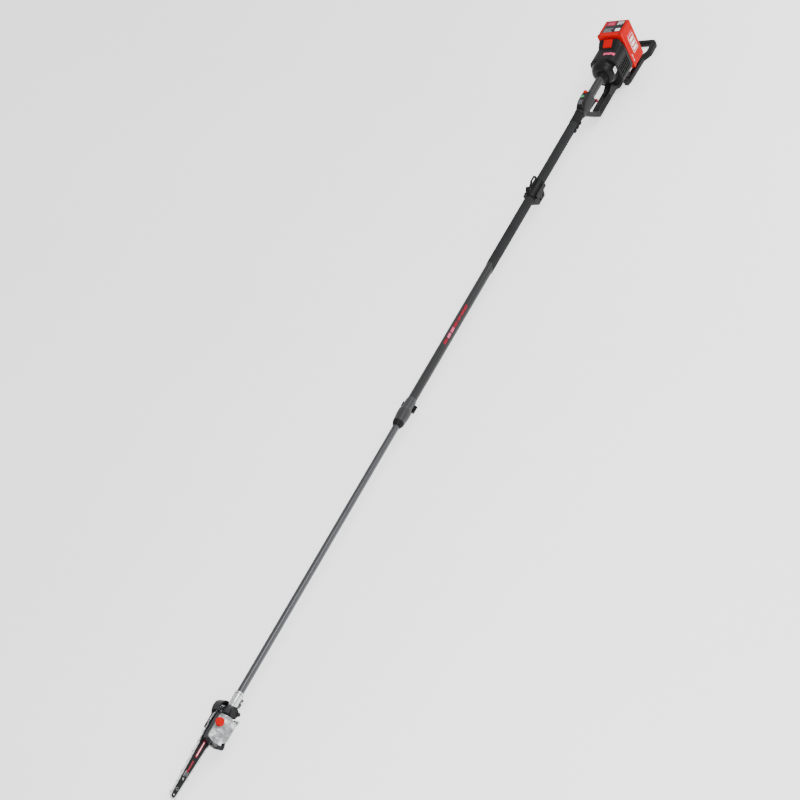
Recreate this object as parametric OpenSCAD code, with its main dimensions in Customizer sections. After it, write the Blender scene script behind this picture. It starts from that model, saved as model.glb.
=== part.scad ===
// Telescoping pole saw: a battery motor at the rear end of a two-piece pole turns a shaft
// that drives the chain at the front end. X runs forward along the pole, Y to the left and
// Z up. The origin is below the middle of the tool, level with its lowest face.

/* [Pole] */
// Outer diameter of the sliding inner tube
inner_d = 25.4; // [24:0.1:31]
// Wall of the inner tube
inner_wall = 1.5; // [1.2:0.1:2]
// Length of the inner tube
inner_l = 1450; // [1100:10:1800]
// Radial space between the two tubes, filled by their guide bushes
bush_t = 2.65; // [2.2:0.05:3.6]
// Wall of the outer tube
outer_wall = 1.8; // [1.4:0.1:2.2]
// Length of the outer tube
outer_l = 1970; // [1600:1:2400]
// Length of inner tube held inside the outer tube when extended
overlap_l = 182; // [150:1:240]
// Wall of the grip sleeve
sleeve_wall = 1.9; // [1.5:0.1:3]
// Length of the grip sleeve
sleeve_l = 934; // [700:1:1100]

/* [Drive] */
// Diameter of the motor shaft
motor_shaft_d = 12; // [10:0.5:14]
// Outer diameter of the hollow drive sleeve
drive_sleeve_d = 13; // [12:0.5:15]
// Width across flats of the hexagonal drive shaft
drive_hex = 8; // [6:0.5:9]
// Diameter of the chain output shaft
output_d = 10; // [8:0.5:12]

/* [Powerhead] */
// Length of the motor housing
housing_l = 110; // [100:1:140]
// Width of the motor housing
housing_w = 122; // [112:1:140]
// Height of the housing top above the pole axis
housing_top = 54; // [52:1:64]
// Depth of the housing bottom below the pole axis
housing_low = 82; // [78:1:90]
// Wall of the moulded shells
shell_t = 3; // [2.5:0.5:4]
// Length of the round front cover
cover_l = 56; // [50:1:70]
// Outer diameter of the stator
stator_d = 92; // [76:0.1:94]

/* [Handle] */
// Depth of the grip's centre below the pole axis
grip_drop = 83; // [74:1:92]
// Thickness of the grip
grip_d = 30; // [26:1:34]
// Length of the handle along the pole
handle_l = 322; // [290:1:370]
// Length of the control pod
pod_l = 124; // [110:1:140]
// Thickness of the rear guard's rails
guard_t = 24; // [18:1:28]
// Depth of the guard's underside below the pole axis
guard_drop = 128; // [122:1:140]
// Width of the rear guard between the centres of its rails
guard_w = 112; // [104:1:130]
// Distance from the battery to the rear end of the guard
guard_reach = 111; // [90:1:140]

/* [Battery] */
// Thickness of the battery along the pole
battery_t = 101; // [94:1:120]
// Width of the battery
battery_w = 112; // [106:1:124]
// Height of the battery
battery_h = 171; // [160:1:190]
// Diameter of one cell
cell_d = 21; // [18:0.5:21.5]

/* [Saw head] */
// Distance from the chain wheel to the tip of the bar's chain
bar_reach = 352; // [300:0.1:425]
// Thickness of the guide bar
bar_t = 4.3; // [4:0.1:5]
// Distance of the bar's middle plane to the right of the pole axis
bar_side = 27; // [26:0.5:32]
// Distance between neighbouring chain rivets
chain_pitch = 9.525; // [8:0.1:10.3]
// Radius of the chain's rivet line at the widest part of the bar
root_r = 28.5; // [23:0.05:31]
// Radius of the chain's rivet line round the nose
nose_r = 13.7; // [13:0.1:16]
// Length of the oil tank
tank_l = 95; // [85:1:105]
// Diameter of the oil cap
cap_d = 30; // [30:1:38]

/* [Travel and fits] */
// Distance the inner tube slides into the outer tube
pole_travel = 1200; // [900:10:1250]
// Radial clearance of a turning or sliding fit
run_gap = 0.08; // [0.03:0.01:0.1]
// Clearance between moving pieces that don't guide each other
free_gap = 0.5; // [0.4:0.1:1]

/* [Hidden] */
$fn = 64;
eps = 0.01;

// Places along the pole, measured forward from the rear end of the guard
battery_x0 = guard_reach;
battery_x1 = battery_x0 + battery_t;
dock_gap = 2;
dock_t = 8;
dock_x = battery_x1 + dock_gap;
housing_x0 = dock_x + dock_t;
housing_x1 = housing_x0 + housing_l;
cover_x1 = housing_x1 + cover_l;
tube_seat = 26;
tube_x0 = cover_x1 - tube_seat;
tube_x1 = tube_x0 + outer_l;
handle_x0 = housing_x1 - 57;
handle_x1 = handle_x0 + handle_l;
sleeve_x0 = handle_x1;
sleeve_x1 = sleeve_x0 + sleeve_l;
pod_x0 = handle_x1 - pod_l + 20;
pod_x1 = pod_x0 + pod_l;
clamp_l = 96;
clamp_x0 = sleeve_x1 - 506;
clamp_x1 = clamp_x0 + clamp_l;
collar_l = 136;
collar_x0 = tube_x1 - 120;
collar_x1 = collar_x0 + collar_l;
inner_x0 = tube_x1 - overlap_l;
inner_x1 = inner_x0 + inner_l;
socket_l = 58;
socket_x0 = inner_x1 - 34;
sprocket_x = inner_x1 + 45;
tip_x = sprocket_x + bar_reach;
overall_l = tip_x;

// Tubes and the shafts inside them
inner_bore = inner_d - 2 * inner_wall;
outer_bore = inner_d + 2 * bush_t;
outer_d = outer_bore + 2 * outer_wall;
sleeve_d = outer_d + 2 * sleeve_wall;
drive_x0 = cover_x1 - 10;
drive_x1 = inner_x0 + 40;
shaft_x0 = drive_x1 - 120;
hex_corner = 2 / sqrt(3);

// Motor
core_x0 = housing_x0 + 32;
core_l = 56;
core_x1 = core_x0 + core_l;
rotor_d = 50;
air_gap = 0.6;
bearing_od = 28;
bearing_t = 9;
rear_bearing_x = core_x0 - 18;
front_bearing_x = housing_x1 + 6;
support_bearing_x = cover_x1 + 60;
fan_x = core_x1 + 5;
fan_l = 11;
fan_d = 84;
coupling_x0 = housing_x1 + 22;
coupling_l = 46;
coupling_d = 24;
boss_d = 48;
cover_d0 = 112;

// Handle and control pod
grip_low = -grip_drop - grip_d / 2;
grip_top = -grip_drop + grip_d / 2;
handle_foot = -112;
guard_block_w = 72;
guard_slope_l = 20;
cradle_w = 38;
cradle_low = -22;
pod_top = 39;
pod_r = 14;
trigger_x = handle_x0 + 88;
trigger_l = 52;
trigger_pivot_d = 5;
lever_pivot_x = handle_x1 - 44;
lever_pivot_z = -33;
lever_l = 84;
power_button_x = pod_x0 + 20;
light_x = pod_x0 + 50;

// Battery and its dock
rail_y = 30;
rail_w = 12;
rail_stem = 5;
rail_depth = 9;
rail_low = -battery_h / 2 + 10;
rail_high = battery_h / 2 - 30;
base_t = 14;
case_x1 = battery_x1 - base_t;
cell_rows = 6;
cell_columns = 3;
cell_pitch = cell_d + 1.5;
cell_l = 70;
label_t = 0.8;
shoulder_w = 100;
shoulder_l = 44;
shoulder_top = 74;
shoulder_h = 58;
shoulder_front_h = 34;
shoulder_taper = 12;
shoulder_r = 16;
release_w = 40;
release_l = 34;
release_x0 = housing_x0 + 2;
release_top = 76;
release_front = 61;

// Lock collar and its lever
collar_d0 = outer_d + 5.7;
collar_d1 = outer_d + 15.7;
collar_nose_d = outer_d + 9.7;
lever_arm_r = collar_d0 / 2 + 7.5;
lever_ear_x = collar_x0 + 34;
lever_w = 22;
lever_pin_d = 4;
lever_t = 3.4;
lever_gap = 0.8;

// Saw head
bar_y = -bar_side;
rail_inset = 3.3;
groove_depth = 7;
gauge_t = 1.3;
groove_t = 1.7;
strap_t = 1.1;
cutter_over = 6.8;
tang_depth = 6.4;
nose_pin_d = 5;
wheel_r = 18.2;
root_x = sprocket_x + 45;
strap_over = 3;
nose_x = tip_x - nose_r - strap_over;
tail_x = sprocket_x + 24;
tail_r = 8;
stud_x = [sprocket_x + 42, sprocket_x + 66];
stud_d = 8;
pad_x0 = sprocket_x + 12;
pad_x1 = sprocket_x + 122;
pad_low = -32;
pad_top = 24;
pad_left = 1.7;
pad_right = bar_y + 6;
foot_right = bar_y + bar_t / 2;
chamber_r = 21;
chamber_wall = 3;
chamber_left = 22;
chamber_right = -12;
gear_r = 17;
pinion_r = 8.5;
hood_r = 38;
hood_plate_half = 24;
hood_wall = 3;
hood_left = -14;
hood_right = bar_y - 15;
socket_d = inner_d + 6.6;
tank_x0 = sprocket_x + 26;
tank_x1 = tank_x0 + tank_l;
tank_y0 = 2;
tank_y1 = 38;
tank_low = -34;
tank_wall = 2;
neck_d = 24;
neck_tilt = 30;
neck_x = sprocket_x + 62;
neck_y = 19;
neck_z = 28.5;
neck_l = 9;
pump_d = 14;
pump_x = sprocket_x + 92;
pump_z = -14;
tension_x = sprocket_x + 96;
tension_y = -13;
tension_z = -25;
hook_y0 = -7.5;
hook_y1 = pad_left;
socket_bolt_x = socket_x0 + 26;
socket_bolt_z = -socket_d / 2 - 4;

// Round-cornered rectangle about the origin
module soft_rect(w, h, r) {
    square([w - 2 * r, h], center = true);
    square([w, h - 2 * r], center = true);
    for (sx = [-1, 1], sy = [-1, 1])
        translate([sx * (w / 2 - r), sy * (h / 2 - r)]) circle(r = r);
}
// Puts a flat outline across the pole at x and extrudes it forward
module across(x, l) {
    translate([x, 0, 0]) rotate([90, 0, 90]) linear_extrude(l) children();
}
// Puts a flat outline in the XZ plane and extrudes it from y0 to y1
module upright(y0, y1) {
    translate([0, y1, 0]) rotate([90, 0, 0]) linear_extrude(y1 - y0) children();
}
// Round bar along the pole axis
module rod(x0, x1, d) {
    translate([x0, 0, 0]) rotate([0, 90, 0]) cylinder(h = x1 - x0, d = d);
}
// Round bar across the pole, from y0 to y1
module cross_rod(x, z, y0, y1, d) {
    translate([x, y1, z]) rotate([90, 0, 0]) cylinder(h = y1 - y0, d = d);
}
// Cone along the pole axis
module taper(x0, x1, d0, d1) {
    translate([x0, 0, 0]) rotate([0, 90, 0]) cylinder(h = x1 - x0, d1 = d0, d2 = d1);
}
module pipe(x0, x1, od, id) {
    difference() {
        rod(x0, x1, od);
        rod(x0 - 1, x1 + 1, id);
    }
}
// Moves the pole's own frame to the tool's frame
module placed() {
    translate([-overall_l / 2, 0, guard_drop]) children();
}
module left_half() {
    intersection() {
        children();
        translate([-1, 0, -400]) cube([overall_l, 400, 800]);
    }
}
module right_half() {
    intersection() {
        children();
        translate([-1, -400, -400]) cube([overall_l, 400, 800]);
    }
}

// ---- Pole ----
module outer_tube() {
    color("#56585c") placed() pipe(tube_x0, tube_x1, outer_d, outer_bore);
}
module grip_sleeve() {
    color("#4a4b4d") placed() difference() {
        pipe(sleeve_x0, sleeve_x1, sleeve_d, outer_d);
        translate([sleeve_x1 - sleeve_d / 2, 0, 0]) rotate([0, -45, 0])
            translate([0, -sleeve_d, -2 * sleeve_d]) cube([4 * sleeve_d, 2 * sleeve_d, 4 * sleeve_d]);
    }
}
// Clamp body round the sleeve with its feet for the screws
module clamp_shell() {
    rod(clamp_x0, clamp_x1, sleeve_d + 10);
    translate([clamp_x0 + 8, -sleeve_d / 2 - 12, -9]) cube([clamp_l - 16, sleeve_d + 24, 18]);
}
module clamp_screw_places() {
    for (x = [clamp_x0 + 22, clamp_x1 - 22], s = [-1, 1])
        translate([x, s * (sleeve_d / 2 + 8), 0]) children();
}
module harness_loop_outline() {
    difference() {
        hull() {
            translate([clamp_x0 + 8, 20]) circle(r = 6, $fn = 32);
            translate([clamp_x0 + 11, 39]) circle(r = 6, $fn = 32);
            translate([clamp_x0 + 40, 39]) circle(r = 6, $fn = 32);
            translate([clamp_x0 + 56, 20]) circle(r = 6, $fn = 32);
        }
        hull() {
            translate([clamp_x0 + 11, 30]) circle(r = 2.5, $fn = 32);
            translate([clamp_x0 + 14, 39]) circle(r = 2.5, $fn = 32);
            translate([clamp_x0 + 38, 39]) circle(r = 2.5, $fn = 32);
            translate([clamp_x0 + 46, 30]) circle(r = 2.5, $fn = 32);
        }
    }
}
module harness_clamp_upper() {
    color("#2e2e30") placed() difference() {
        union() {
            clamp_shell();
            upright(-4, 4) harness_loop_outline();
            upright(-9, 9) polygon([
                [clamp_x0 + 60, 20], [clamp_x0 + 72, 43], [clamp_x0 + 80, 40], [clamp_x1, 22], [clamp_x1, 10],
                [clamp_x0 + 60, 10]
            ]);
        }
        rod(clamp_x0 - 1, clamp_x1 + 1, sleeve_d);
        translate([clamp_x0 - 1, -60, -60]) cube([clamp_l + 2, 120, 60]);
        clamp_screw_places() translate([0, 0, -1]) cylinder(h = 20, d = 4);
    }
}
module harness_clamp_lower() {
    color("#343436") placed() difference() {
        union() {
            clamp_shell();
            upright(-20, 20) polygon([
                [clamp_x0 + 14, -10], [clamp_x0 + 26, -42], [clamp_x1 - 12, -42], [clamp_x1 - 4, -10]
            ]);
        }
        rod(clamp_x0 - 1, clamp_x1 + 1, sleeve_d);
        translate([clamp_x0 - 1, -60, 0]) cube([clamp_l + 2, 120, 60]);
        clamp_screw_places() translate([0, 0, -20]) cylinder(h = 21, d = 4);
        for (x = [clamp_x0 + 38, clamp_x0 + 62]) cross_rod(x, -31, 12, 21, 9);
    }
}
module harness_clamp_screws() {
    color("#8a8c90") placed() clamp_screw_places() {
        translate([0, 0, -7]) cylinder(h = 16, d = 4);
        translate([0, 0, 9]) cylinder(h = 3, d = 7.5);
    }
}
// Ring round the joint of the two tubes, split below its lever
module lock_collar() {
    color("#4c4d50") placed() difference() {
        union() {
            taper(collar_x0, collar_x0 + 12, outer_d + 2, collar_d0);
            rod(collar_x0 + 12, collar_x0 + 52, collar_d0 + 1);
            taper(collar_x0 + 48, collar_x0 + 60, collar_d0, collar_d1);
            taper(collar_x0 + 60, collar_x1 - 14, collar_d1, collar_nose_d);
            taper(collar_x1 - 14, collar_x1, collar_nose_d, inner_d + 7);
            for (s = [-1, 1])
                rotate([-45, 0, 0]) translate([lever_ear_x + s * (lever_w / 2 + 3) - 2.5, 0, -5])
                    cube([5, lever_arm_r + 4, 10]);
        }
        rod(collar_x0 - 1, tube_x1, outer_d);
        rod(tube_x1 - 1, collar_x1 + 1, inner_d + 2);
        rotate([-45, 0, 0]) translate([collar_x0 - 1, lever_arm_r, 0]) rotate([0, 90, 0])
            cylinder(h = collar_l, d = lever_pin_d);
    }
}
module collar_bush() {
    color("#1f1f20") placed() pipe(tube_x1 - 60, tube_x1, outer_bore, inner_d + 2 * run_gap);
}
module lever_pin() {
    color("#b8bcc0") placed() rotate([-45, 0, 0]) translate([lever_ear_x - lever_w / 2 - 5.5, lever_arm_r, 0])
        rotate([0, 90, 0]) cylinder(h = lever_w + 11, d = lever_pin_d);
}
// Lever that wraps the underside of the collar
module lock_lever() {
    lever_r = collar_d0 / 2 + 0.5 + lever_gap;
    color("#2b2b2d") placed() difference() {
        union() {
            difference() {
                pipe(lever_ear_x - lever_w / 2, lever_ear_x + lever_w / 2, 2 * (lever_r + lever_t), 2 * lever_r);
                rotate([-45, 0, 0]) translate([collar_x0, -80, 0]) cube([collar_l, 160, 80]);
            }
            rotate([-45, 0, 0]) translate([lever_ear_x - lever_w / 2, lever_arm_r, 0]) rotate([0, 90, 0])
                cylinder(h = lever_w, d = 9);
            rotate([-45, 0, 0]) translate([lever_ear_x - lever_w / 2, lever_r, -4]) cube([lever_w, 6, 4]);
        }
        rotate([-45, 0, 0]) translate([collar_x0, lever_arm_r, 0]) rotate([0, 90, 0])
            cylinder(h = collar_l, d = lever_pin_d + 2 * run_gap);
        rod(collar_x0, collar_x1, 2 * lever_r);
    }
}

// ---- Powerhead ----
module housing_outline(inset) {
    translate([0, (housing_top - housing_low) / 2])
        soft_rect(housing_w - 2 * inset, housing_top + housing_low - 2 * inset, 34 - inset);
}
// Raised rear shoulder round the release button, sloping down to the front
module housing_shoulder(inset) {
    hull() {
        across(housing_x0 + inset, 1) translate([0, shoulder_top - shoulder_h / 2])
            soft_rect(shoulder_w - 2 * inset, shoulder_h - 2 * inset, shoulder_r - inset, $fn = 32);
        across(housing_x0 + shoulder_l - inset, 1) translate([0, housing_top - 1 - shoulder_front_h / 2])
            soft_rect(
                shoulder_w - shoulder_taper - 2 * inset, shoulder_front_h - 2 * inset,
                shoulder_r - 2 - inset, $fn = 32
            );
    }
}
module housing_screw_places() {
    for (place = [[housing_x0 + 12, 30], [housing_x1 - 12, 48], [housing_x0 + 12, -60], [housing_x1 - 12, -60]])
        translate([place[0], 0, place[1]]) children();
}
module handle_screw_places() {
    for (x = [handle_x0 + 14, handle_x0 + 160, handle_x0 + 205, handle_x1 - 50])
        translate([x, 0, x < handle_x0 + 100 ? grip_low - 2 : (x > handle_x1 - 60 ? -46 : -grip_drop)])
            children();
}
module rib_plate(x, t, bore) {
    difference() {
        across(x, t) housing_outline(shell_t - eps);
        rod(x - 1, x + t + 1, bore);
        translate([x - 1, -housing_w, -housing_low]) cube([t + 2, 2 * housing_w, 34]);
    }
}
module housing_body() {
    difference() {
        union() {
            difference() {
                union() {
                    across(housing_x0, housing_l) housing_outline(0);
                    housing_shoulder(0);
                }
                translate([-shell_t, 0, 0]) across(housing_x0, housing_l) housing_outline(shell_t);
                housing_shoulder(shell_t);
                rod(housing_x0, cover_x1, stator_d + 4);
            }
            rib_plate(rear_bearing_x, bearing_t, bearing_od);
            rib_plate(core_x0 + 6, 5, stator_d);
            rib_plate(core_x1 - 11, 5, stator_d);
            housing_screw_places() rotate([90, 0, 0])
                cylinder(h = housing_w - 2 * shell_t - 8, d = 9, center = true);
        }
        for (s = [-1, 1], k = [0 : 6])
            translate([housing_x0 + 20 + 12 * k, s * (housing_w / 2 - shell_t), -48])
                translate([0, -6, 0]) cube([5, 12, 52]);
        translate([release_x0 - free_gap, -release_w / 2 - free_gap, housing_top - 10])
            cube([release_l + 2 * free_gap, release_w + 2 * free_gap, 60]);
        housing_screw_places() rotate([90, 0, 0]) translate([0, 0, -8]) cylinder(h = 16, d = 4);
    }
}
module housing_left() {
    color("#2b2b2d") placed() left_half() housing_body();
}
module housing_right() {
    color("#2d2d2f") placed() right_half() housing_body();
}
module cover_form() {
    rod(housing_x1, housing_x1 + 8, cover_d0);
    taper(housing_x1 + 8, housing_x1 + 16, cover_d0, cover_d0 - 8);
    taper(housing_x1 + 16, cover_x1 - 16, cover_d0 - 8, boss_d + 4);
    rod(cover_x1 - 16, cover_x1, boss_d);
}
module front_cover() {
    color("#343538") placed() difference() {
        cover_form();
        taper(housing_x1 + 6 + bearing_t, coupling_x0 + 6, stator_d + 2, 60);
        rod(housing_x1 - 1, front_bearing_x, 40);
        rod(front_bearing_x - eps, front_bearing_x + bearing_t, bearing_od);
        rod(front_bearing_x, tube_x0, coupling_d + 5);
        rod(tube_x0, cover_x1 + 1, outer_d);
    }
}
module stator() {
    color("#a9703f") placed() difference() {
        union() {
            rod(core_x0, core_x1, stator_d);
            rod(core_x0 - 5, core_x1 + 4, stator_d - 18);
        }
        rod(core_x0 - 6, core_x1 + 5, rotor_d + 2 * air_gap);
        for (k = [0 : 8]) rotate([k * 40, 0, 0]) translate([core_x0 - 6, -2, rotor_d / 2 - 2])
            cube([core_l + 12, 4, 12]);
    }
}
module bearing(x, od, bore) {
    pipe(x, x + bearing_t, od, bore);
}
module drive_bearings() {
    color("#b9bdc2") placed() {
        bearing(rear_bearing_x, bearing_od, motor_shaft_d + 2 * run_gap);
        bearing(front_bearing_x, bearing_od, motor_shaft_d + 2 * run_gap);
        bearing(support_bearing_x, outer_bore, drive_sleeve_d + 2 * run_gap);
    }
}
module control_board() {
    color("#2f6b3c") placed() {
        translate([core_x0 - 22, -44, -housing_low + 10]) cube([96, 88, 1.6]);
        for (k = [0 : 4]) translate([core_x0 - 4 + 13 * k, -30, -housing_low + 11.6]) cube([9, 14, 8]);
        for (k = [0 : 2]) translate([core_x0 + 24 * k, 22, -housing_low + 11.6]) cylinder(h = 12, d = 14);
        for (k = [0, 1]) translate([core_x0 - 18 + 80 * k, -5, -housing_low + 3]) cube([8, 10, 7]);
    }
}
module battery_dock() {
    color("#262628") placed() {
        difference() {
            across(dock_x, dock_t) translate([0, (housing_top - housing_low) / 2])
                soft_rect(battery_w - 8, housing_top + housing_low - 4, 14);
            rod(dock_x - 1, housing_x0 + 1, 20);
        }
        for (s = [-1, 1]) translate([0, s * rail_y, 0]) {
            translate([dock_x - dock_gap - rail_depth, -rail_stem / 2, rail_low])
                cube([rail_depth + dock_gap + eps, rail_stem, rail_high - rail_low]);
            translate([dock_x - dock_gap - rail_depth, -rail_w / 2, rail_low])
                cube([4, rail_w, rail_high - rail_low]);
        }
    }
}
module terminal_block() {
    color("#3a3a3d") placed() {
        translate([dock_x - dock_gap - 6, -14, -30]) cube([6 + dock_gap, 28, 40]);
        for (k = [-1 : 1]) translate([dock_x - dock_gap - 10, 8 * k - 0.6, -24]) cube([5, 1.2, 28]);
    }
}
// Half of the guard's plan: a wide loop behind the battery that narrows below it
module guard_plan() {
    half = guard_w / 2 + 12;
    waist = half - 21;
    loop_x1 = battery_x0 - 23;
    polygon([
        [0, -eps], [0, half - 24], [3, half - 14], [14, half - 3], [24, half], [loop_x1, half],
        [loop_x1 + 30, waist], [handle_x0 - 20, waist - 4], [handle_x0, waist - 12], [handle_x0, 10],
        [housing_x0 + 4, 10], [loop_x1 + 24, waist - guard_t], [loop_x1 - 6, half - guard_t],
        [guard_t + 12, half - guard_t], [guard_t, half - guard_t - 10], [guard_t, -eps]
    ]);
}
module rear_guard() {
    color("#2a2a2c") placed() difference() {
        union() {
            translate([0, 0, -guard_drop]) linear_extrude(guard_t) guard_plan();
            translate([0, 0, -guard_drop]) linear_extrude(guard_t) mirror([0, 1]) guard_plan();
            translate([housing_x0 + 6, -guard_block_w / 2, -guard_drop])
                cube([handle_x0 - housing_x0 - 6, guard_block_w, guard_drop - housing_low]);
        }
        upright(-guard_w, guard_w) polygon([
            [handle_x0 - guard_slope_l, -guard_drop - 1], [handle_x0 - guard_slope_l, -guard_drop],
            [handle_x0 + 1, handle_foot], [handle_x0 + 1, -guard_drop - 1]
        ]);
    }
}
// Side view of the handle: foot under the housing, grip, and front leg up to the pole
module handle_outline() {
    leg = handle_x1 - 4;
    polygon([
        [handle_x0, handle_foot], [handle_x0 + 34, handle_foot], [handle_x0 + 62, grip_low],
        [leg - 92, grip_low], [leg, -14], [leg, -4], [leg - 106, -4], [leg - 106, -24], [leg - 34, -24],
        [leg - 96, grip_top - 3], [leg - 104, grip_top], [handle_x0 + 110, grip_top],
        [handle_x0 + 84, grip_top + 10], [handle_x0 + 66, grip_top + 24], [handle_x0 + 58, -30],
        [housing_x1 + 1, -30], [housing_x1 + 1, -housing_low], [handle_x0, -housing_low]
    ]);
}
module handle_body() {
    difference() {
        union() {
            upright(-grip_d / 2, grip_d / 2) handle_outline();
            translate([pod_x0 + 4, -cradle_w / 2, cradle_low]) cube([pod_l - 14, cradle_w, -cradle_low]);
        }
        rod(0, sleeve_x0, outer_d);
        rod(sleeve_x0, overall_l, sleeve_d);
        cover_form();
        translate([trigger_x - 6, -5, -grip_drop - 7]) cube([trigger_l + 14, 10, 60]);
        upright(-8, 8) polygon([
            [lever_pivot_x - lever_l - 10, -24], [lever_pivot_x + 6, -24], [lever_pivot_x + 6, lever_pivot_z - 4],
            [lever_pivot_x - 8, lever_pivot_z - 7], [lever_pivot_x - lever_l - 10, lever_pivot_z - 23]
        ]);
        handle_screw_places() rotate([90, 0, 0]) translate([0, 0, -9]) cylinder(h = 18, d = 4);
    }
    cross_rod(trigger_x, -grip_drop + 2, -5, 5, trigger_pivot_d);
    cross_rod(lever_pivot_x, lever_pivot_z, -8, 8, trigger_pivot_d);
}
module handle_left() {
    color("#303032") placed() left_half() handle_body();
}
module handle_right() {
    color("#303032") placed() right_half() handle_body();
}
module trigger_switch() {
    color("#1e1e1f") placed() translate([trigger_x + trigger_l - 4, -4.5, -grip_drop - 7]) cube([11, 9, 6.5]);
}
// Finger piece that stands out of the top of the grip
module trigger() {
    color("#222224") placed() difference() {
        union() {
            cross_rod(trigger_x, -grip_drop + 2, -4, 4, 10);
            upright(-4, 4) polygon([
                [trigger_x - 1, -grip_drop + 4], [trigger_x + 6, grip_top + 4], [trigger_x + 20, grip_top + 9],
                [trigger_x + 34, grip_top + 11], [trigger_x + trigger_l, grip_top + 5],
                [trigger_x + trigger_l, grip_top - 4], [trigger_x + 1, -grip_drop]
            ]);
        }
        cross_rod(trigger_x, -grip_drop + 2, -6, 6, trigger_pivot_d + 2 * run_gap);
    }
}
// Thin lever under the pod with a knob at its rear end
module lock_off_lever() {
    color("#242426") placed() difference() {
        union() {
            cross_rod(lever_pivot_x, lever_pivot_z, -5, 5, 9);
            upright(-3, 3) polygon([
                [lever_pivot_x, lever_pivot_z + 3], [lever_pivot_x, lever_pivot_z - 4.5],
                [lever_pivot_x - lever_l + 6, lever_pivot_z - 11],
                [lever_pivot_x - lever_l + 6, lever_pivot_z - 6.5]
            ]);
            cross_rod(lever_pivot_x - lever_l + 4, lever_pivot_z - 9, -6, 6, 12);
        }
        cross_rod(lever_pivot_x, lever_pivot_z, -6, 6, trigger_pivot_d + 2 * run_gap);
    }
}
module control_pod() {
    color("#2a2b2d") placed() difference() {
        union() {
            hull() {
                translate([pod_x0 + 4, 0, 0]) rotate([0, 90, 0])
                    cylinder(h = pod_l - 24, d = cradle_w + 2, $fn = 32);
                for (s = [-1, 1]) {
                    translate([pod_x0 + 26, s * 8, pod_top - pod_r]) sphere(r = pod_r, $fn = 32);
                    translate([pod_x1 - 50, s * 8, pod_top - pod_r]) sphere(r = pod_r, $fn = 32);
                }
            }
            rod(sleeve_x0 - 2, pod_x1, sleeve_d + 6);
        }
        rod(0, sleeve_x0, outer_d);
        rod(sleeve_x0, overall_l, sleeve_d);
        translate([0, -60, -60]) cube([overall_l, 120, 60]);
        translate([power_button_x, 0, outer_d / 2 + 5]) cylinder(h = 40, d = 19);
        translate([light_x, 0, pod_top - 8]) cylinder(h = 20, d = 9);
    }
}
module status_light() {
    color("#58b368") placed() translate([light_x, 0, pod_top - 8]) cylinder(h = 6.6, d = 9);
}
module power_button() {
    color("#e0262b") placed() {
        translate([power_button_x, 0, outer_d / 2 + 10])
            cylinder(h = pod_top - outer_d / 2 - 8, d = 18 - 2 * run_gap);
    }
}
module housing_screws() {
    color("#77797d") placed() {
        housing_screw_places() rotate([-90, 0, 0]) cylinder(h = 14, d = 4, center = true);
        handle_screw_places() rotate([-90, 0, 0]) cylinder(h = 17, d = 4, center = true);
    }
}
module release_button() {
    release_low = housing_top - shell_t - 1;
    color("#d8242a") placed() {
        upright(-release_w / 2, release_w / 2) polygon([
            [release_x0, release_low], [release_x0 + release_l, release_low],
            [release_x0 + release_l, release_front - 2], [release_x0 + release_l - 2, release_front],
            [release_x0 + 3, release_top], [release_x0, release_top - 1]
        ]);
    }
}

// ---- Battery ----
module battery_case() {
    color("#e02a2e") placed() difference() {
        translate([(battery_x0 + case_x1) / 2, 0, -battery_h / 2]) linear_extrude(battery_h)
            soft_rect(case_x1 - battery_x0, battery_w, 7);
        translate([battery_x0 + shell_t, -battery_w / 2 + shell_t, -battery_h / 2 + shell_t])
            cube([case_x1 - battery_x0, battery_w - 2 * shell_t, battery_h - 2 * shell_t]);
    }
}
// Front plate of the battery with its two rail slots and terminal slot
module battery_base() {
    color("#c9262a") placed() difference() {
        translate([case_x1, -battery_w / 2, -battery_h / 2]) cube([base_t, battery_w, battery_h]);
        for (s = [-1, 1]) translate([0, s * rail_y, 0]) {
            translate([battery_x1 - rail_depth - 1, -rail_w / 2 - free_gap, -battery_h / 2 - 1])
                cube([4 + 1 + free_gap, rail_w + 2 * free_gap, rail_high + 2 + battery_h / 2]);
            translate([battery_x1 - rail_depth - 1, -rail_stem / 2 - free_gap, -battery_h / 2 - 1])
                cube([rail_depth + 2, rail_stem + 2 * free_gap, rail_high + 2 + battery_h / 2]);
        }
        translate([battery_x1 - 12, -15, -battery_h / 2 - 1]) cube([13, 30, battery_h / 2 + 15]);
    }
}
module battery_cells() {
    color("#4f7fb5") placed()
        for (i = [0 : cell_columns - 1], k = [0 : cell_rows - 1])
            cross_rod((battery_x0 + case_x1) / 2 + (i - (cell_columns - 1) / 2) * cell_pitch,
                (k - (cell_rows - 1) / 2) * cell_pitch, -cell_l / 2, cell_l / 2, cell_d);
}
module battery_label() {
    color("#2a2a2c") placed() translate([(battery_x0 + case_x1) / 2, 0, battery_h / 2])
        linear_extrude(label_t) soft_rect(case_x1 - battery_x0 - 16, battery_w - 26, 4);
}

// ---- Turning pieces behind the joint ----
module rotor() {
    color("#9fa3a8") placed() {
        rod(rear_bearing_x - 4, drive_x0, motor_shaft_d);
        rod(core_x0, core_x1, rotor_d);
    }
}
module cooling_fan() {
    color("#3b3b3e") placed() difference() {
        union() {
            rod(fan_x, fan_x + fan_l, 28);
            rod(fan_x, fan_x + 2, fan_d);
            for (k = [0 : 8]) rotate([k * 40, 0, 0]) translate([fan_x, -1.2, 12])
                cube([fan_l, 2.4, fan_d / 2 - 13]);
        }
        rod(fan_x - 1, fan_x + fan_l + 1, motor_shaft_d);
    }
}
module shaft_coupling() {
    color("#8d9095") placed() difference() {
        rod(coupling_x0, coupling_x0 + coupling_l, coupling_d);
        rod(coupling_x0 - 1, drive_x0, motor_shaft_d);
        rod(drive_x0 - eps, coupling_x0 + coupling_l + 1, drive_sleeve_d);
    }
}
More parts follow.
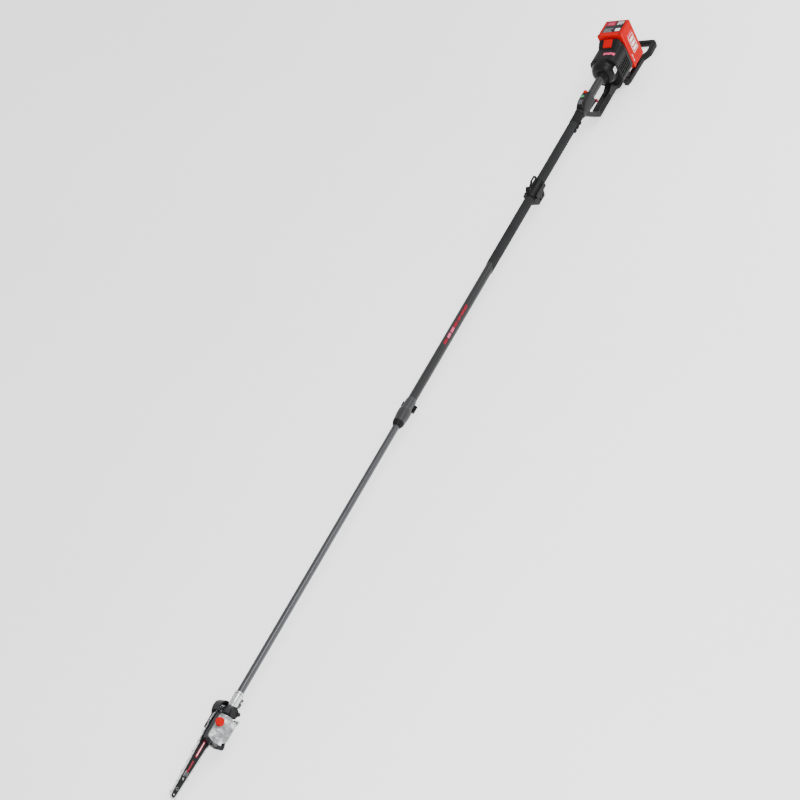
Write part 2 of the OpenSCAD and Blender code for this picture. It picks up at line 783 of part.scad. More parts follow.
module drive_sleeve() {
    color("#a4a8ad") placed() difference() {
        rod(drive_x0, drive_x1, drive_sleeve_d);
        translate([drive_x0 + 2, 0, 0]) rotate([0, 90, 0])
            cylinder(h = drive_x1 - drive_x0, d = (drive_hex + 2 * run_gap) * hex_corner, $fn = 6);
    }
}
module sleeve_tip_bush() {
    color("#d9d4c4") placed() pipe(drive_x1 - 16, drive_x1 - 2, inner_bore - 2 * run_gap, drive_sleeve_d);
}

// ---- Sliding pole and saw head ----
module inner_tube() {
    color("#8a8d92") placed() pipe(inner_x0, inner_x1, inner_d, inner_bore);
}
module inner_bush() {
    color("#1f1f20") placed() pipe(inner_x0, inner_x0 + 45, outer_bore - 2 * run_gap, inner_d);
}
module shaft_bush() {
    shaft_round = drive_hex * hex_corner + 2 * run_gap;
    color("#d9d4c4") placed() for (x = [drive_x1 + pole_travel + 80, inner_x1 - 40])
        pipe(x, x + 12, inner_bore, shaft_round + 2 * run_gap);
}
// Cast body: tube socket, round gear chamber and forward pad for the bar
module gear_case() {
    neck_x0 = inner_x1;
    color("#8f9296") placed() difference() {
        union() {
            rod(socket_x0, socket_x0 + socket_l, socket_d);
            taper(socket_x0 + socket_l - eps, sprocket_x - 12, socket_d, socket_d + 6);
            translate([socket_x0 + 10, -9, socket_bolt_z - 7]) cube([32, 18, 14]);
            cross_rod(sprocket_x, 0, chamber_right, chamber_left, 2 * chamber_r);
            upright(pad_right, pad_left) translate([(pad_x0 + pad_x1) / 2, (pad_low + pad_top) / 2])
                soft_rect(pad_x1 - pad_x0, pad_top - pad_low, 8);
            upright(foot_right, pad_left) translate([sprocket_x + 64, 0]) soft_rect(72, 34, 8);
        }
        rod(socket_x0 - 1, inner_x1, inner_d);
        rod(neck_x0 - eps, neck_x0 + 12, 22);
        rod(neck_x0, sprocket_x, 2 * pinion_r + 2);
        cross_rod(sprocket_x, 0, chamber_right + chamber_wall, chamber_left + 1, 2 * (chamber_r - chamber_wall));
        cross_rod(sprocket_x, 0, chamber_right - 1, chamber_left, output_d + 8);
        cross_rod(sprocket_x, 0, chamber_right - 20, chamber_right, 2 * chamber_r + 6);
        translate([socket_x0 - 1, -1.5, socket_bolt_z - 10]) cube([44, 3, 18]);
        cross_rod(socket_bolt_x, socket_bolt_z, -20, 20, 6);
        for (x = stud_x) cross_rod(x, 0, foot_right - 1, -8, stud_d);
        cross_rod(pump_x, pump_z, -12, pad_left + 1, pump_d);
        translate([tension_x - 6, tension_y, tension_z]) rotate([0, 90, 0]) cylinder(h = 60, d = 4.4);
        translate([neck_x0 - 6, 0, 10]) cylinder(h = 30, d = 5);
    }
}
module gear_case_cover() {
    color("#3a3b3e") placed() difference() {
        union() {
            cross_rod(sprocket_x, 0, chamber_left, chamber_left + 3.5, 2 * chamber_r);
            cross_rod(sprocket_x - 9, -20, chamber_left - 6, chamber_left + 6, 15);
            for (a = [60, 180, 300])
                cross_rod(sprocket_x + 17 * cos(a), 17 * sin(a), chamber_left, chamber_left + 5, 7);
        }
        cross_rod(sprocket_x, 0, chamber_left - 12, chamber_left, 2 * chamber_r);
    }
}
module socket_bolts() {
    color("#c3c6ca") placed() {
        cross_rod(socket_bolt_x, socket_bolt_z, -15, 13, 6);
        cross_rod(socket_bolt_x, socket_bolt_z, 9, 15, 10);
        cross_rod(socket_bolt_x, socket_bolt_z, -14, -9, 10);
        translate([inner_x1 - 6, 0, inner_d / 2]) cylinder(h = 7, d = 5);
        translate([inner_x1 - 6, 0, socket_d / 2]) cylinder(h = 3.5, d = 8);
    }
}
module head_bearings() {
    color("#b9bdc2") placed() {
        pipe(inner_x1, inner_x1 + 10, 22, drive_hex * hex_corner + 2 * run_gap);
        for (y = [chamber_right - eps, chamber_left - 5]) difference() {
            cross_rod(sprocket_x, 0, y, y + (y < 0 ? chamber_wall : 5), output_d + 8);
            cross_rod(sprocket_x, 0, y - 1, y + 8, output_d + 2 * run_gap);
        }
    }
}
// Points round a belt of circles [x, r] that lie on one line, from the last to the first and back
function lean(a, b) = asin((b[1] - a[1]) / (b[0] - a[0]));
function arc(c, a0, a1, n) = [for (k = [0 : n]) let (a = a0 + (a1 - a0) * k / n)
    [c[0] + c[1] * sin(a), c[1] * cos(a)]];
function belt_top(list, n) =
    let (last = len(list) - 1)
    [for (i = [0 : last]) let (
        a0 = i == 0 ? -90 : -lean(list[i - 1], list[i]),
        a1 = i == last ? 90 : -lean(list[i], list[i + 1])
    ) each arc(list[i], a0, a1, n)];
function mirrored(points) = [for (k = [len(points) - 1 : -1 : 0]) [points[k][0], -points[k][1]]];
function belt(list, n) = concat(belt_top(list, n), mirrored(belt_top(list, n)));
function bar_circles(inset) = [[tail_x, tail_r], [root_x, root_r - inset], [nose_x, nose_r - inset]];
function chain_circles(offset) = [
    [sprocket_x, wheel_r + offset], [root_x, root_r + offset], [nose_x, nose_r + offset]
];
// Length round a belt, the point at a length along it, and the run's direction there
function gap_between(a, b) = norm(b - a);
function lengths(points, k = 0, sum = 0) = k == len(points) ? []
    : concat([sum], lengths(points, k + 1, sum + gap_between(points[k], points[(k + 1) % len(points)])));
function total(points) = lengths(points)[len(points) - 1] + gap_between(points[len(points) - 1], points[0]);
function segment(ls, s) = max([for (k = [0 : len(ls) - 1]) if (ls[k] <= s) k]);
function spot(points, ls, s) =
    let (k = segment(ls, s), a = points[k], b = points[(k + 1) % len(points)],
        f = (s - ls[k]) / max(eps, gap_between(a, b)))
    [a[0] + f * (b[0] - a[0]), a[1] + f * (b[1] - a[1]), atan2(b[1] - a[1], b[0] - a[0])];

module guide_bar() {
    color("#232325") placed() difference() {
        upright(bar_y - bar_t / 2, bar_y + bar_t / 2) polygon(belt(bar_circles(rail_inset), 24));
        upright(bar_y - groove_t / 2, bar_y + groove_t / 2) difference() {
            polygon(belt(bar_circles(rail_inset - 2), 24));
            polygon(belt([for (c = bar_circles(rail_inset + groove_depth)) [c[0], max(2, c[1])]], 24));
        }
        difference() {
            cross_rod(nose_x, 0, bar_y - groove_t / 2, bar_y + groove_t / 2, 2 * (nose_r - rail_inset));
            cross_rod(nose_x, 0, bar_y - bar_t, bar_y + bar_t, nose_pin_d);
        }
        upright(bar_y - bar_t, bar_y + bar_t) translate([(stud_x[0] + stud_x[1]) / 2 + 3, 0])
            soft_rect(stud_x[1] - stud_x[0] + stud_d + 12, stud_d + 0.6, stud_d / 2);
        cross_rod(tip_x - 79, 0, bar_y - bar_t, bar_y + bar_t, 5);
    }
}
chain_line = belt(chain_circles(0), 16);
chain_marks = lengths(chain_line);
link_count = 2 * floor(total(chain_line) / (4 * chain_pitch));
link_step = total(chain_line) / link_count;
// Outline of one cutter: heel, depth gauge and raised top edge
module cutter_outline() {
    polygon([
        [-8, -1], [8, -1], [8.5, 2], [5, 5.5], [2.4, 2.2], [0.6, 2.2], [-0.6, cutter_over],
        [-7, cutter_over - 1.2], [-8.5, 2]
    ]);
}
module tang_outline() {
    polygon([[-4.2, 0], [4.2, 0], [1.2, -tang_depth], [-1.2, -tang_depth]]);
}
module saw_chain() {
    color("#a6a8ab") placed() {
        upright(bar_y - gauge_t / 2, bar_y + gauge_t / 2) {
            difference() {
                polygon(belt(chain_circles(2.6), 16));
                polygon(belt(chain_circles(-2.6), 16));
            }
            for (k = [0 : link_count - 1]) let (p = spot(chain_line, chain_marks, k * link_step))
                translate([p[0], p[1]]) rotate(p[2]) tang_outline();
        }
        for (s = [-1, 1]) upright(
            bar_y + (s > 0 ? gauge_t / 2 : -gauge_t / 2 - strap_t),
            bar_y + (s > 0 ? gauge_t / 2 + strap_t : -gauge_t / 2)
        ) {
            difference() {
                polygon(belt(chain_circles(3), 16));
                polygon(belt(chain_circles(-3), 16));
            }
            for (k = [0 : link_count - 1]) if (k % 4 == (s > 0 ? 1 : 3))
                let (p = spot(chain_line, chain_marks, k * link_step))
                translate([p[0], p[1]]) rotate(p[2]) cutter_outline();
        }
    }
}
module bar_studs() {
    color("#c3c6ca") placed() for (x = stud_x) cross_rod(x, 0, hood_right - 9, -8, stud_d);
}
module bar_nuts() {
    color("#d2d5d8") placed() for (x = stud_x) difference() {
        union() {
            translate([x, hood_right, 0]) rotate([90, 0, 0]) cylinder(h = 7, d = 13 * hex_corner, $fn = 6);
            cross_rod(x, 0, hood_right - 2, hood_right, 17);
        }
        cross_rod(x, 0, hood_right - 10, hood_right + 1, stud_d);
    }
}
// Cover on the right side: a round hood over the chain wheel and a plate over the bar's root
module hood_outline(inset) {
    circle(r = hood_r - inset);
    translate([0, -hood_plate_half + inset])
        square([stud_x[1] - sprocket_x + 16 - inset, 2 * (hood_plate_half - inset)]);
}
module sprocket_cover() {
    color("#515356") placed() difference() {
        upright(hood_right, hood_left) translate([sprocket_x, 0]) hood_outline(0);
        upright(hood_right + hood_wall, hood_left + 1) {
            translate([sprocket_x, 0]) hood_outline(hood_wall);
            translate([sprocket_x + 16, -60]) square([120, 120]);
        }
        upright(-socket_d / 2 - 0.5, hood_left + 1) translate([sprocket_x - 60, -60]) square([36, 120]);
        for (x = stud_x) cross_rod(x, 0, hood_right - 1, hood_right + 5, stud_d);
    }
}
module tank_outline(inset) {
    offset(delta = -inset) polygon([
        [tank_y0, tank_low + 4], [tank_y0 + 4, tank_low], [tank_y1 - 8, tank_low], [tank_y1 - 2, tank_low + 3],
        [tank_y1, tank_low + 9], [tank_y1, 12], [tank_y1 - 2, 17], [tank_y1 - 6, 21], [tank_y0 + 4, 36],
        [tank_y0, 34]
    ]);
}
// Room of the tank seen from the side, with its lower front corner cut back
module tank_side(inset) {
    offset(delta = -inset) polygon([
        [tank_x0, tank_low], [tank_x1 - 34, tank_low], [tank_x1 - 12, tank_low + 11], [tank_x1, tank_low + 34],
        [tank_x1, 36], [tank_x0, 36]
    ]);
}
module tank_body(inset) {
    intersection() {
        across(tank_x0 + inset, tank_l - 2 * inset) tank_outline(inset);
        upright(tank_y0, tank_y1) tank_side(inset);
    }
}
module at_neck() {
    translate([neck_x, neck_y, neck_z]) rotate([-neck_tilt, 0, 0]) children();
}
module oil_tank() {
    color("#e9ebec") placed() difference() {
        union() {
            tank_body(0);
            translate([tank_x0 - 16, tank_y0 + 4, tank_low]) cube([17, tank_y1 - tank_y0 - 6, 7]);
            at_neck() cylinder(h = neck_l, d = neck_d);
        }
        tank_body(tank_wall);
        at_neck() translate([0, 0, -6]) cylinder(h = neck_l + 8, d = neck_d - 5);
    }
}
module oil_cap() {
    color("#e3342f") placed() at_neck() difference() {
        union() {
            translate([0, 0, 1]) cylinder(h = 12, d = cap_d);
            translate([0, 0, 13]) cylinder(h = 1.5, d = cap_d - 6);
        }
        translate([0, 0, -1]) cylinder(h = neck_l + 1 + free_gap, d = neck_d + 2 * run_gap);
        for (k = [0 : 11]) rotate([0, 0, 30 * k]) translate([cap_d / 2 + 0.6, 0, 0]) cylinder(h = 20, d = 4);
    }
}
module oil_pump() {
    color("#9a9da1") placed() {
        cross_rod(pump_x, pump_z, -12, pad_left - 0.2, pump_d);
    }
}
module limb_hook() {
    color("#3a3b3d") placed() upright(hook_y0, hook_y1) polygon([
        [pad_x1, -6], [pad_x1 + 5, -8], [pad_x1 + 4, -32], [pad_x1 - 12, -62], [pad_x1 - 18, -66],
        [pad_x1 - 26, -66], [pad_x1 - 46, -56], [pad_x1 - 44, -51], [pad_x1 - 24, -56], [pad_x1 - 14, pad_low],
        [pad_x1, pad_low]
    ]);
}
module tension_screw() {
    color("#c3c6ca") placed() translate([tension_x, tension_y, tension_z]) rotate([0, 90, 0]) {
        cylinder(h = 26, d = 4);
        translate([0, 0, 26]) cylinder(h = 4, d = 7);
    }
}
module drive_shaft() {
    color("#b4b8bd") placed() translate([shaft_x0, 0, 0]) rotate([0, 90, 0])
        cylinder(h = sprocket_x - gear_r + 2 - shaft_x0, d = drive_hex * hex_corner, $fn = 6);
}
// Bevel pair drawn as its pitch cones
module input_pinion() {
    big_x = sprocket_x - gear_r;
    color("#9b7d3d") placed() difference() {
        union() {
            taper(big_x - 1, big_x + 7, 2 * pinion_r - 1, 2 * pinion_r * (gear_r - 8) / gear_r - 1);
            rod(big_x - 9, big_x - 1 + eps, 13);
        }
        translate([big_x - 12, 0, 0]) rotate([0, 90, 0]) cylinder(h = 30, d = drive_hex * hex_corner, $fn = 6);
    }
}
module output_shaft() {
    color("#b4b8bd") placed() cross_rod(sprocket_x, 0, bar_y - 8, chamber_left - 0.5, output_d);
}
module bevel_gear() {
    color("#9b7d3d") placed() difference() {
        union() {
            translate([sprocket_x, pinion_r + 1, 0]) rotate([90, 0, 0])
                cylinder(h = 4, d1 = 2 * gear_r, d2 = 2 * gear_r * (pinion_r - 4) / pinion_r + 2);
            cross_rod(sprocket_x, 0, pinion_r + 1 - eps, pinion_r + 6, 22);
        }
        cross_rod(sprocket_x, 0, -20, 40, output_d);
    }
}
module drive_sprocket() {
    tooth_r = wheel_r - tang_depth - free_gap;
    teeth = 6;
    color("#85888c") placed() difference() {
        union() {
            cross_rod(sprocket_x, 0, bar_y - 2, bar_y + 2, 2 * (tooth_r - 3));
            for (k = [0 : teeth - 1]) upright(bar_y - 2, bar_y + 2)
                translate([sprocket_x, 0]) rotate(k * 360 / teeth) polygon([[0, -4], [tooth_r, -1.2], [tooth_r, 1.2], [0, 4]]);
            cross_rod(sprocket_x, 0, bar_y + 2, bar_y + 10, 16);
        }
        cross_rod(sprocket_x, 0, bar_y - 10, bar_y + 20, output_d);
    }
}
module nose_sprocket() {
    wheel = nose_r - tang_depth - free_gap;
    color("#85888c") placed() difference() {
        upright(bar_y - gauge_t / 2, bar_y + gauge_t / 2) translate([nose_x, 0]) difference() {
            circle(r = wheel);
            circle(d = nose_pin_d + 2 * run_gap);
        }
        for (k = [0 : 8]) cross_rod(nose_x + wheel * cos(40 * k), wheel * sin(40 * k), bar_y - 2, bar_y + 2, 2.6);
    }
}

outer_tube();
grip_sleeve();
harness_clamp_upper();
harness_clamp_lower();
harness_clamp_screws();
lock_collar();
collar_bush();
lever_pin();
lock_lever();
housing_left();
housing_right();
front_cover();
stator();
drive_bearings();
control_board();
battery_dock();
terminal_block();
rear_guard();
handle_left();
handle_right();
trigger_switch();
control_pod();
status_light();
housing_screws();
trigger();
lock_off_lever();
power_button();
release_button();
battery_case();
battery_base();
battery_cells();
battery_label();
rotor();
cooling_fan();
shaft_coupling();
drive_sleeve();
sleeve_tip_bush();
inner_tube();
inner_bush();
shaft_bush();
gear_case();
gear_case_cover();
socket_bolts();
head_bearings();
guide_bar();
saw_chain();
bar_studs();
bar_nuts();
sprocket_cover();
oil_tank();
oil_pump();
limb_hook();
tension_screw();
drive_shaft();
input_pinion();
output_shaft();
bevel_gear();
drive_sprocket();
nose_sprocket();
oil_cap();
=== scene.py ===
"""Looks of the telescoping pole saw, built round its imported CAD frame.

Shapes are drawn in millimetres in the pole's own frame: x forward from the rear end of the
guard, y to the left, z up from the pole's axis. at() turns such a point into the row frame.
"""

from math import asin, copysign, cos, hypot, pi, radians, sin, sqrt, tan

import bmesh
import bpy
from mathutils import Matrix, Vector


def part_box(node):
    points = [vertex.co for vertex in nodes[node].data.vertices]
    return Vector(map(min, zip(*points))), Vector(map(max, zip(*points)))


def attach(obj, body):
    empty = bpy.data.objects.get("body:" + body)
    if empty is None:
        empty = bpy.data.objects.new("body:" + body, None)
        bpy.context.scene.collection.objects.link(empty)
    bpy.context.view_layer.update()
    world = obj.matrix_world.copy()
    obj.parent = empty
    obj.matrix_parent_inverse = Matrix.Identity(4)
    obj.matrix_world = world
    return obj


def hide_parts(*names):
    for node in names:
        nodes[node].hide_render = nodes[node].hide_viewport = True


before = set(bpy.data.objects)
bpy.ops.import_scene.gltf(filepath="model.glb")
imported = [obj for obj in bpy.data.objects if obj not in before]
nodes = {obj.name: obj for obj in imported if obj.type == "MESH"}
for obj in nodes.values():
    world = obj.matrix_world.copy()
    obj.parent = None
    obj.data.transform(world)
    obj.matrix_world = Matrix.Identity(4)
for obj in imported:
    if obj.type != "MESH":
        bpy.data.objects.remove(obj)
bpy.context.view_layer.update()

MM = 0.001
REAR_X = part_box("rear_guard")[0].x
AXIS_Z = (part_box("outer_tube")[0].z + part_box("outer_tube")[1].z) / 2


def at(x, y, z):
    """A point of the pole's frame, in millimetres, as a point of the row frame in metres."""
    return Vector((REAR_X + x * MM, y * MM, AXIS_Z + z * MM))


def span(node):
    """Lowest and highest corner of a CAD node in the pole's frame, in millimetres."""
    return [((c.x - REAR_X) / MM, c.y / MM, (c.z - AXIS_Z) / MM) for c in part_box(node)]


# ---- Materials ----
class Nodes:
    """A material's node tree with short ways to add the nodes used here."""

    def __init__(self, name):
        self.material = bpy.data.materials.new(name)
        self.material.use_nodes = True
        self.tree = self.material.node_tree
        self.shader = self.tree.nodes["Principled BSDF"]
        self.place = self.add("ShaderNodeTexCoord").outputs["Object"]

    def add(self, kind, **inputs):
        made = self.tree.nodes.new(kind)
        for key, value in inputs.items():
            made.inputs[key].default_value = value
        return made

    def link(self, source, target):
        self.tree.links.new(source, target)

    def drive(self, name, output):
        self.link(output, self.shader.inputs[name])

    def fix(self, name, value):
        self.shader.inputs[name].default_value = value

    def stretched(self, scale):
        mapping = self.add("ShaderNodeMapping", Scale=scale)
        self.link(self.place, mapping.inputs["Vector"])
        return mapping.outputs["Vector"]

    def noise(self, scale, detail=4.0, rough=0.55, stretch=None):
        made = self.add("ShaderNodeTexNoise", Scale=scale, Detail=detail, Roughness=rough)
        self.link(self.stretched(stretch) if stretch else self.place, made.inputs["Vector"])
        return made.outputs["Fac"]

    def ramp(self, fac, stops):
        """Colour ramp through (place, colour) stops."""
        made = self.add("ShaderNodeValToRGB")
        elements = made.color_ramp.elements
        while len(elements) < len(stops):
            elements.new(0.5)
        for element, (place, colour) in zip(elements, stops):
            element.position = place
            element.color = (*colour, 1)
        self.link(fac, made.inputs["Fac"])
        return made.outputs["Color"]

    def level(self, fac, low, high):
        made = self.add("ShaderNodeMapRange")
        made.inputs["To Min"].default_value = low
        made.inputs["To Max"].default_value = high
        self.link(fac, made.inputs["Value"])
        return made.outputs["Result"]

    def mix(self, fac, a, b):
        made = self.tree.nodes.new("ShaderNodeMix")
        made.data_type = "RGBA"
        self.link(fac, made.inputs["Factor"])
        for source, socket in ((a, "A"), (b, "B")):
            target = [s for s in made.inputs if s.name == socket and s.type == "RGBA"][0]
            if isinstance(source, tuple):
                target.default_value = (*source, 1)
            else:
                self.link(source, target)
        return [s for s in made.outputs if s.type == "RGBA"][0]

    def bump(self, *heights):
        """Bumps laid over each other, each (height output, strength, depth in metres)."""
        last = None
        for height, strength, depth in heights:
            made = self.add("ShaderNodeBump", Strength=strength, Distance=depth)
            self.link(height, made.inputs["Height"])
            if last:
                self.link(last, made.inputs["Normal"])
            last = made.outputs["Normal"]
        self.link(last, self.shader.inputs["Normal"])

    def wear(self, low=0.52, high=0.58):
        """1 along worn outer edges, 0 elsewhere."""
        geometry = self.add("ShaderNodeNewGeometry")
        spots = self.level(self.noise(140, 3), -0.05, 0.05)
        total = self.add("ShaderNodeMath")
        total.operation = "ADD"
        self.link(geometry.outputs["Pointiness"], total.inputs[0])
        self.link(spots, total.inputs[1])
        made = self.add("ShaderNodeMapRange")
        made.inputs["From Min"].default_value = low
        made.inputs["From Max"].default_value = high
        self.link(total.outputs[0], made.inputs["Value"])
        return made.outputs["Result"]


def shade(colour, factor):
    return tuple(min(1.0, c * factor) for c in colour)


def moulded(name, colour, rough=0.45, grain=2200.0, depth=0.00006, spread=0.12, worn=1.5, coat=0.0, gloss=0.12):
    """Moulded plastic: faint mottling, a fine sparked grain and lighter worn edges."""
    n = Nodes(name)
    base = n.ramp(n.noise(26, 5), [(0.3, shade(colour, 1 - spread)), (0.7, shade(colour, 1 + spread))])
    n.drive("Base Color", n.mix(n.level(n.wear(), 0, 0.55), base, shade(colour, worn)))
    n.drive("Roughness", n.level(n.noise(60, 4), rough - 0.07, rough + 0.09))
    n.bump((n.noise(grain, 2), 0.35, depth), (n.noise(90, 3), 0.12, 0.0002))
    n.fix("Coat Weight", coat)
    n.fix("Coat Roughness", 0.25)
    n.fix("Specular IOR Level", gloss)
    return n.material


def metal(name, colour, rough=0.35, stretch=(1, 1, 1), scale=400.0, depth=0.00003, spread=0.12):
    """Metal with brush marks or cast grain that run along the stretch."""
    n = Nodes(name)
    marks = n.noise(scale, 5, 0.6, stretch)
    stains = n.noise(18, 4)
    base = n.ramp(marks, [(0.25, shade(colour, 1 - spread)), (0.75, shade(colour, 1 + spread))])
    n.drive("Base Color", n.mix(n.level(stains, 0, 0.35), base, shade(colour, 0.72)))
    n.drive("Roughness", n.level(marks, rough - 0.1, rough + 0.12))
    n.fix("Metallic", 1.0)
    n.bump((marks, 0.3, depth), (n.noise(70, 3), 0.1, 0.0002))
    return n.material


def milky(name):
    """Translucent oil tank: milky plastic, mottled by the light and the oil behind it."""
    n = Nodes(name)
    clouds = n.noise(38, 6, 0.7)
    tones = [(0.36, (0.10, 0.106, 0.11)), (0.5, (0.24, 0.25, 0.255)), (0.64, (0.72, 0.73, 0.73))]
    n.drive("Base Color", n.ramp(clouds, tones))
    n.drive("Roughness", n.level(n.noise(150, 4), 0.28, 0.5))
    n.fix("Subsurface Weight", 0.55)
    n.fix("Subsurface Radius", (0.012, 0.012, 0.012))
    n.fix("Subsurface Scale", 0.6)
    n.bump((n.noise(1400, 2), 0.3, 0.00008), (clouds, 0.35, 0.0012))
    return n.material


def glowing(name, colour):
    """Lens over a small lamp."""
    n = Nodes(name)
    n.drive("Base Color", n.ramp(n.noise(300, 3), [(0.3, shade(colour, 0.7)), (0.7, shade(colour, 1.2))]))
    n.drive("Roughness", n.level(n.noise(200, 3), 0.12, 0.22))
    n.fix("Emission Color", (*colour, 1))
    n.fix("Emission Strength", 0.25)
    n.bump((n.noise(900, 2), 0.15, 0.00005))
    return n.material


def foam(name, colour):
    """Soft grip skin with a close pebbled surface."""
    n = Nodes(name)
    cells = n.add("ShaderNodeTexVoronoi", Scale=900.0)
    n.link(n.place, cells.inputs["Vector"])
    n.drive("Base Color", n.ramp(n.noise(14, 5), [(0.3, shade(colour, 0.85)), (0.7, shade(colour, 1.15))]))
    n.drive("Roughness", n.level(n.noise(40, 4), 0.72, 0.9))
    n.fix("Specular IOR Level", 0.12)
    n.bump((cells.outputs["Distance"], 0.45, 0.0002), (n.noise(60, 4), 0.2, 0.0004))
    return n.material


RED = (0.44, 0.0012, 0.0022)
BLACK = (0.0055, 0.0055, 0.006)
LOOKS = {
    "black": moulded("moulded_black", BLACK, 0.42),
    "black_soft": moulded("soft_black_grip", (0.007, 0.007, 0.0075), 0.72, 1500, 0.0002, 0.2, 1.6, gloss=0.12),
    "black_gloss": moulded("gloss_black", (0.004, 0.004, 0.0045), 0.2, 1200, 0.00002, 0.1, 1.4, 0.1),
    "cover": moulded("cover_black", (0.005, 0.005, 0.0055), 0.32, 1900, 0.00004, 0.15, 1.8, gloss=0.14),
    "collar": moulded("collar_grey", (0.022, 0.022, 0.024), 0.36, 2000, 0.00006, 0.12, 1.5, gloss=0.3),
    "collar_dark": moulded("collar_dark", (0.005, 0.005, 0.0055), 0.5),
    "red": moulded("moulded_red", RED, 0.5, 2400, 0.00004, 0.07, 1.12, gloss=0.04),
    # painted highlight: a lighter, glossier grey for the patch on the pod's top that stands for a reflection
    "sheen_grey": moulded("painted_sheen_grey", (0.05, 0.052, 0.055), 0.25, 900, 0.00002, 0.2, 1.3, gloss=0.4),
    "red_dark": moulded("dark_red_print", (0.22, 0.006, 0.02), 0.42, 2400, 0.00003, 0.2, 1.1),
    "white": moulded("white_print", (0.80, 0.78, 0.78), 0.4, 1800, 0.00003, 0.06, 1.0),
    "pink": moulded("pale_red_print", (0.6, 0.07, 0.16), 0.42, 1800, 0.00003, 0.2, 1.0),
    "grey_print": moulded("grey_print", (0.16, 0.165, 0.17), 0.45, 1800, 0.00003, 0.25, 1.0),
    "label": moulded("label_black", (0.008, 0.008, 0.010), 0.3, 1200, 0.00002, 0.15, 1.1),
    "sleeve": foam("grip_skin", (0.017, 0.0173, 0.018)),
    "pole_paint": moulded("painted_tube", (0.017, 0.0173, 0.018), 0.33, 2600, 0.00005, 0.1, 1.3, gloss=0.2),
    "inner_alloy": metal("anodised_tube", (0.085, 0.087, 0.092), 0.32, (0.06, 1, 1), 700),
    "bright_alloy": metal("bright_socket", (0.62, 0.63, 0.64), 0.2, (0.06, 1, 1), 800),
    "cast_alloy": metal("cast_case", (0.075, 0.077, 0.081), 0.42, (1, 1, 1), 900, 0.0002),
    "bright_steel": metal("bright_steel", (0.62, 0.63, 0.64), 0.26, (1, 1, 1), 500),
    "dark_steel": metal("dark_steel", (0.018, 0.0185, 0.02), 0.38, (1, 1, 1), 600),
    "shaft_steel": metal("shaft_steel", (0.5, 0.51, 0.53), 0.3, (0.05, 1, 1), 600),
    "chain_steel": metal("chain_steel", (0.50, 0.505, 0.51), 0.3, (1, 1, 1), 500),
    "cutter_steel": metal("cutter_steel", (0.55, 0.55, 0.56), 0.25, (1, 1, 1), 500),
    "copper": metal("copper_windings", (0.72, 0.33, 0.14), 0.34, (1, 8, 8), 500),
    "bronze": metal("gear_bronze", (0.52, 0.37, 0.14), 0.36, (1, 1, 1), 400),
    "board": moulded("circuit_board", (0.02, 0.13, 0.045), 0.4, 900, 0.0001, 0.25),
    "cell": moulded("cell_wrap", (0.05, 0.2, 0.42), 0.3, 900, 0.00003, 0.1, 1.1),
    "bush": moulded("bush_plastic", (0.58, 0.55, 0.47), 0.5, 1500, 0.00005, 0.08),
    "tank": milky("milky_tank"),
    "bar": moulded("bar_paint", (0.003, 0.0032, 0.0034), 0.42, 1600, 0.00008, 0.3, 4.0, gloss=0.05),
    "green": glowing("green_lens", (0.03, 0.34, 0.09)),
    "hood": moulded("hood_grey", (0.016, 0.0165, 0.018), 0.42, 1700, 0.00009, 0.12, 1.5, gloss=0.2),
}


# ---- Shapes ----
def rounded(points, radius, steps=5):
    """Closed outline with its corners rounded; a corner may hold its own radius as a third number."""
    made = []
    for i, corner in enumerate(points):
        here = Vector(corner[:2])
        before = Vector(points[i - 1][:2]) - here
        after = Vector(points[(i + 1) % len(points)][:2]) - here
        r = corner[2] if len(corner) > 2 else radius
        half = before.angle(after) / 2
        cut = min(r / tan(half), 0.48 * before.length, 0.48 * after.length) if half < 1.55 else 0
        if cut < 0.02:
            made.append(here)
            continue
        start, end = here + before.normalized() * cut, here + after.normalized() * cut
        for k in range(steps + 1):
            t = k / steps
            made.append(start.lerp(here, t).lerp(here.lerp(end, t), t))
    return made


def block(x0, x1, z0, z1):
    return [(x0, z0), (x1, z0), (x1, z1), (x0, z1)]


def shrunk(outline, inset):
    """Outline moved inwards by inset, point by point."""
    count = len(outline)
    area = sum(outline[i - 1].x * outline[i].y - outline[i].x * outline[i - 1].y for i in range(count))
    turn = 1 if area > 0 else -1
    made = []
    for i, here in enumerate(outline):
        along = outline[(i + 1) % count] - outline[i - 1]
        normal = Vector((-along.y, along.x)).normalized() * turn
        made.append(here + normal * inset)
    return made


def lifted(axis, point, height):
    """A point of an outline at a height along the axis: x takes (y, z), y takes (x, z), z takes (x, y)."""
    a, b = point
    return {"x": (height, a, b), "y": (a, height, b), "z": (a, b, height)}[axis]


def circle(radius, count=48, centre=(0.0, 0.0)):
    turns = [2 * pi * k / count for k in range(count)]
    return [Vector((centre[0] + radius * cos(t), centre[1] + radius * sin(t))) for t in turns]


def shifted(x, r, steps):
    """Profile points given as steps from (x, r)."""
    return [(x + dx, r + dr) for dx, dr in steps]


def both_sides(a, b):
    """The range from a to b on the right of the pole's middle, then on its left, each lowest end first."""
    return [tuple(sorted((side * a, side * b))) for side in (-1, 1)]


def rotated(degrees, axis):
    return Matrix.Rotation(radians(degrees), 4, axis)


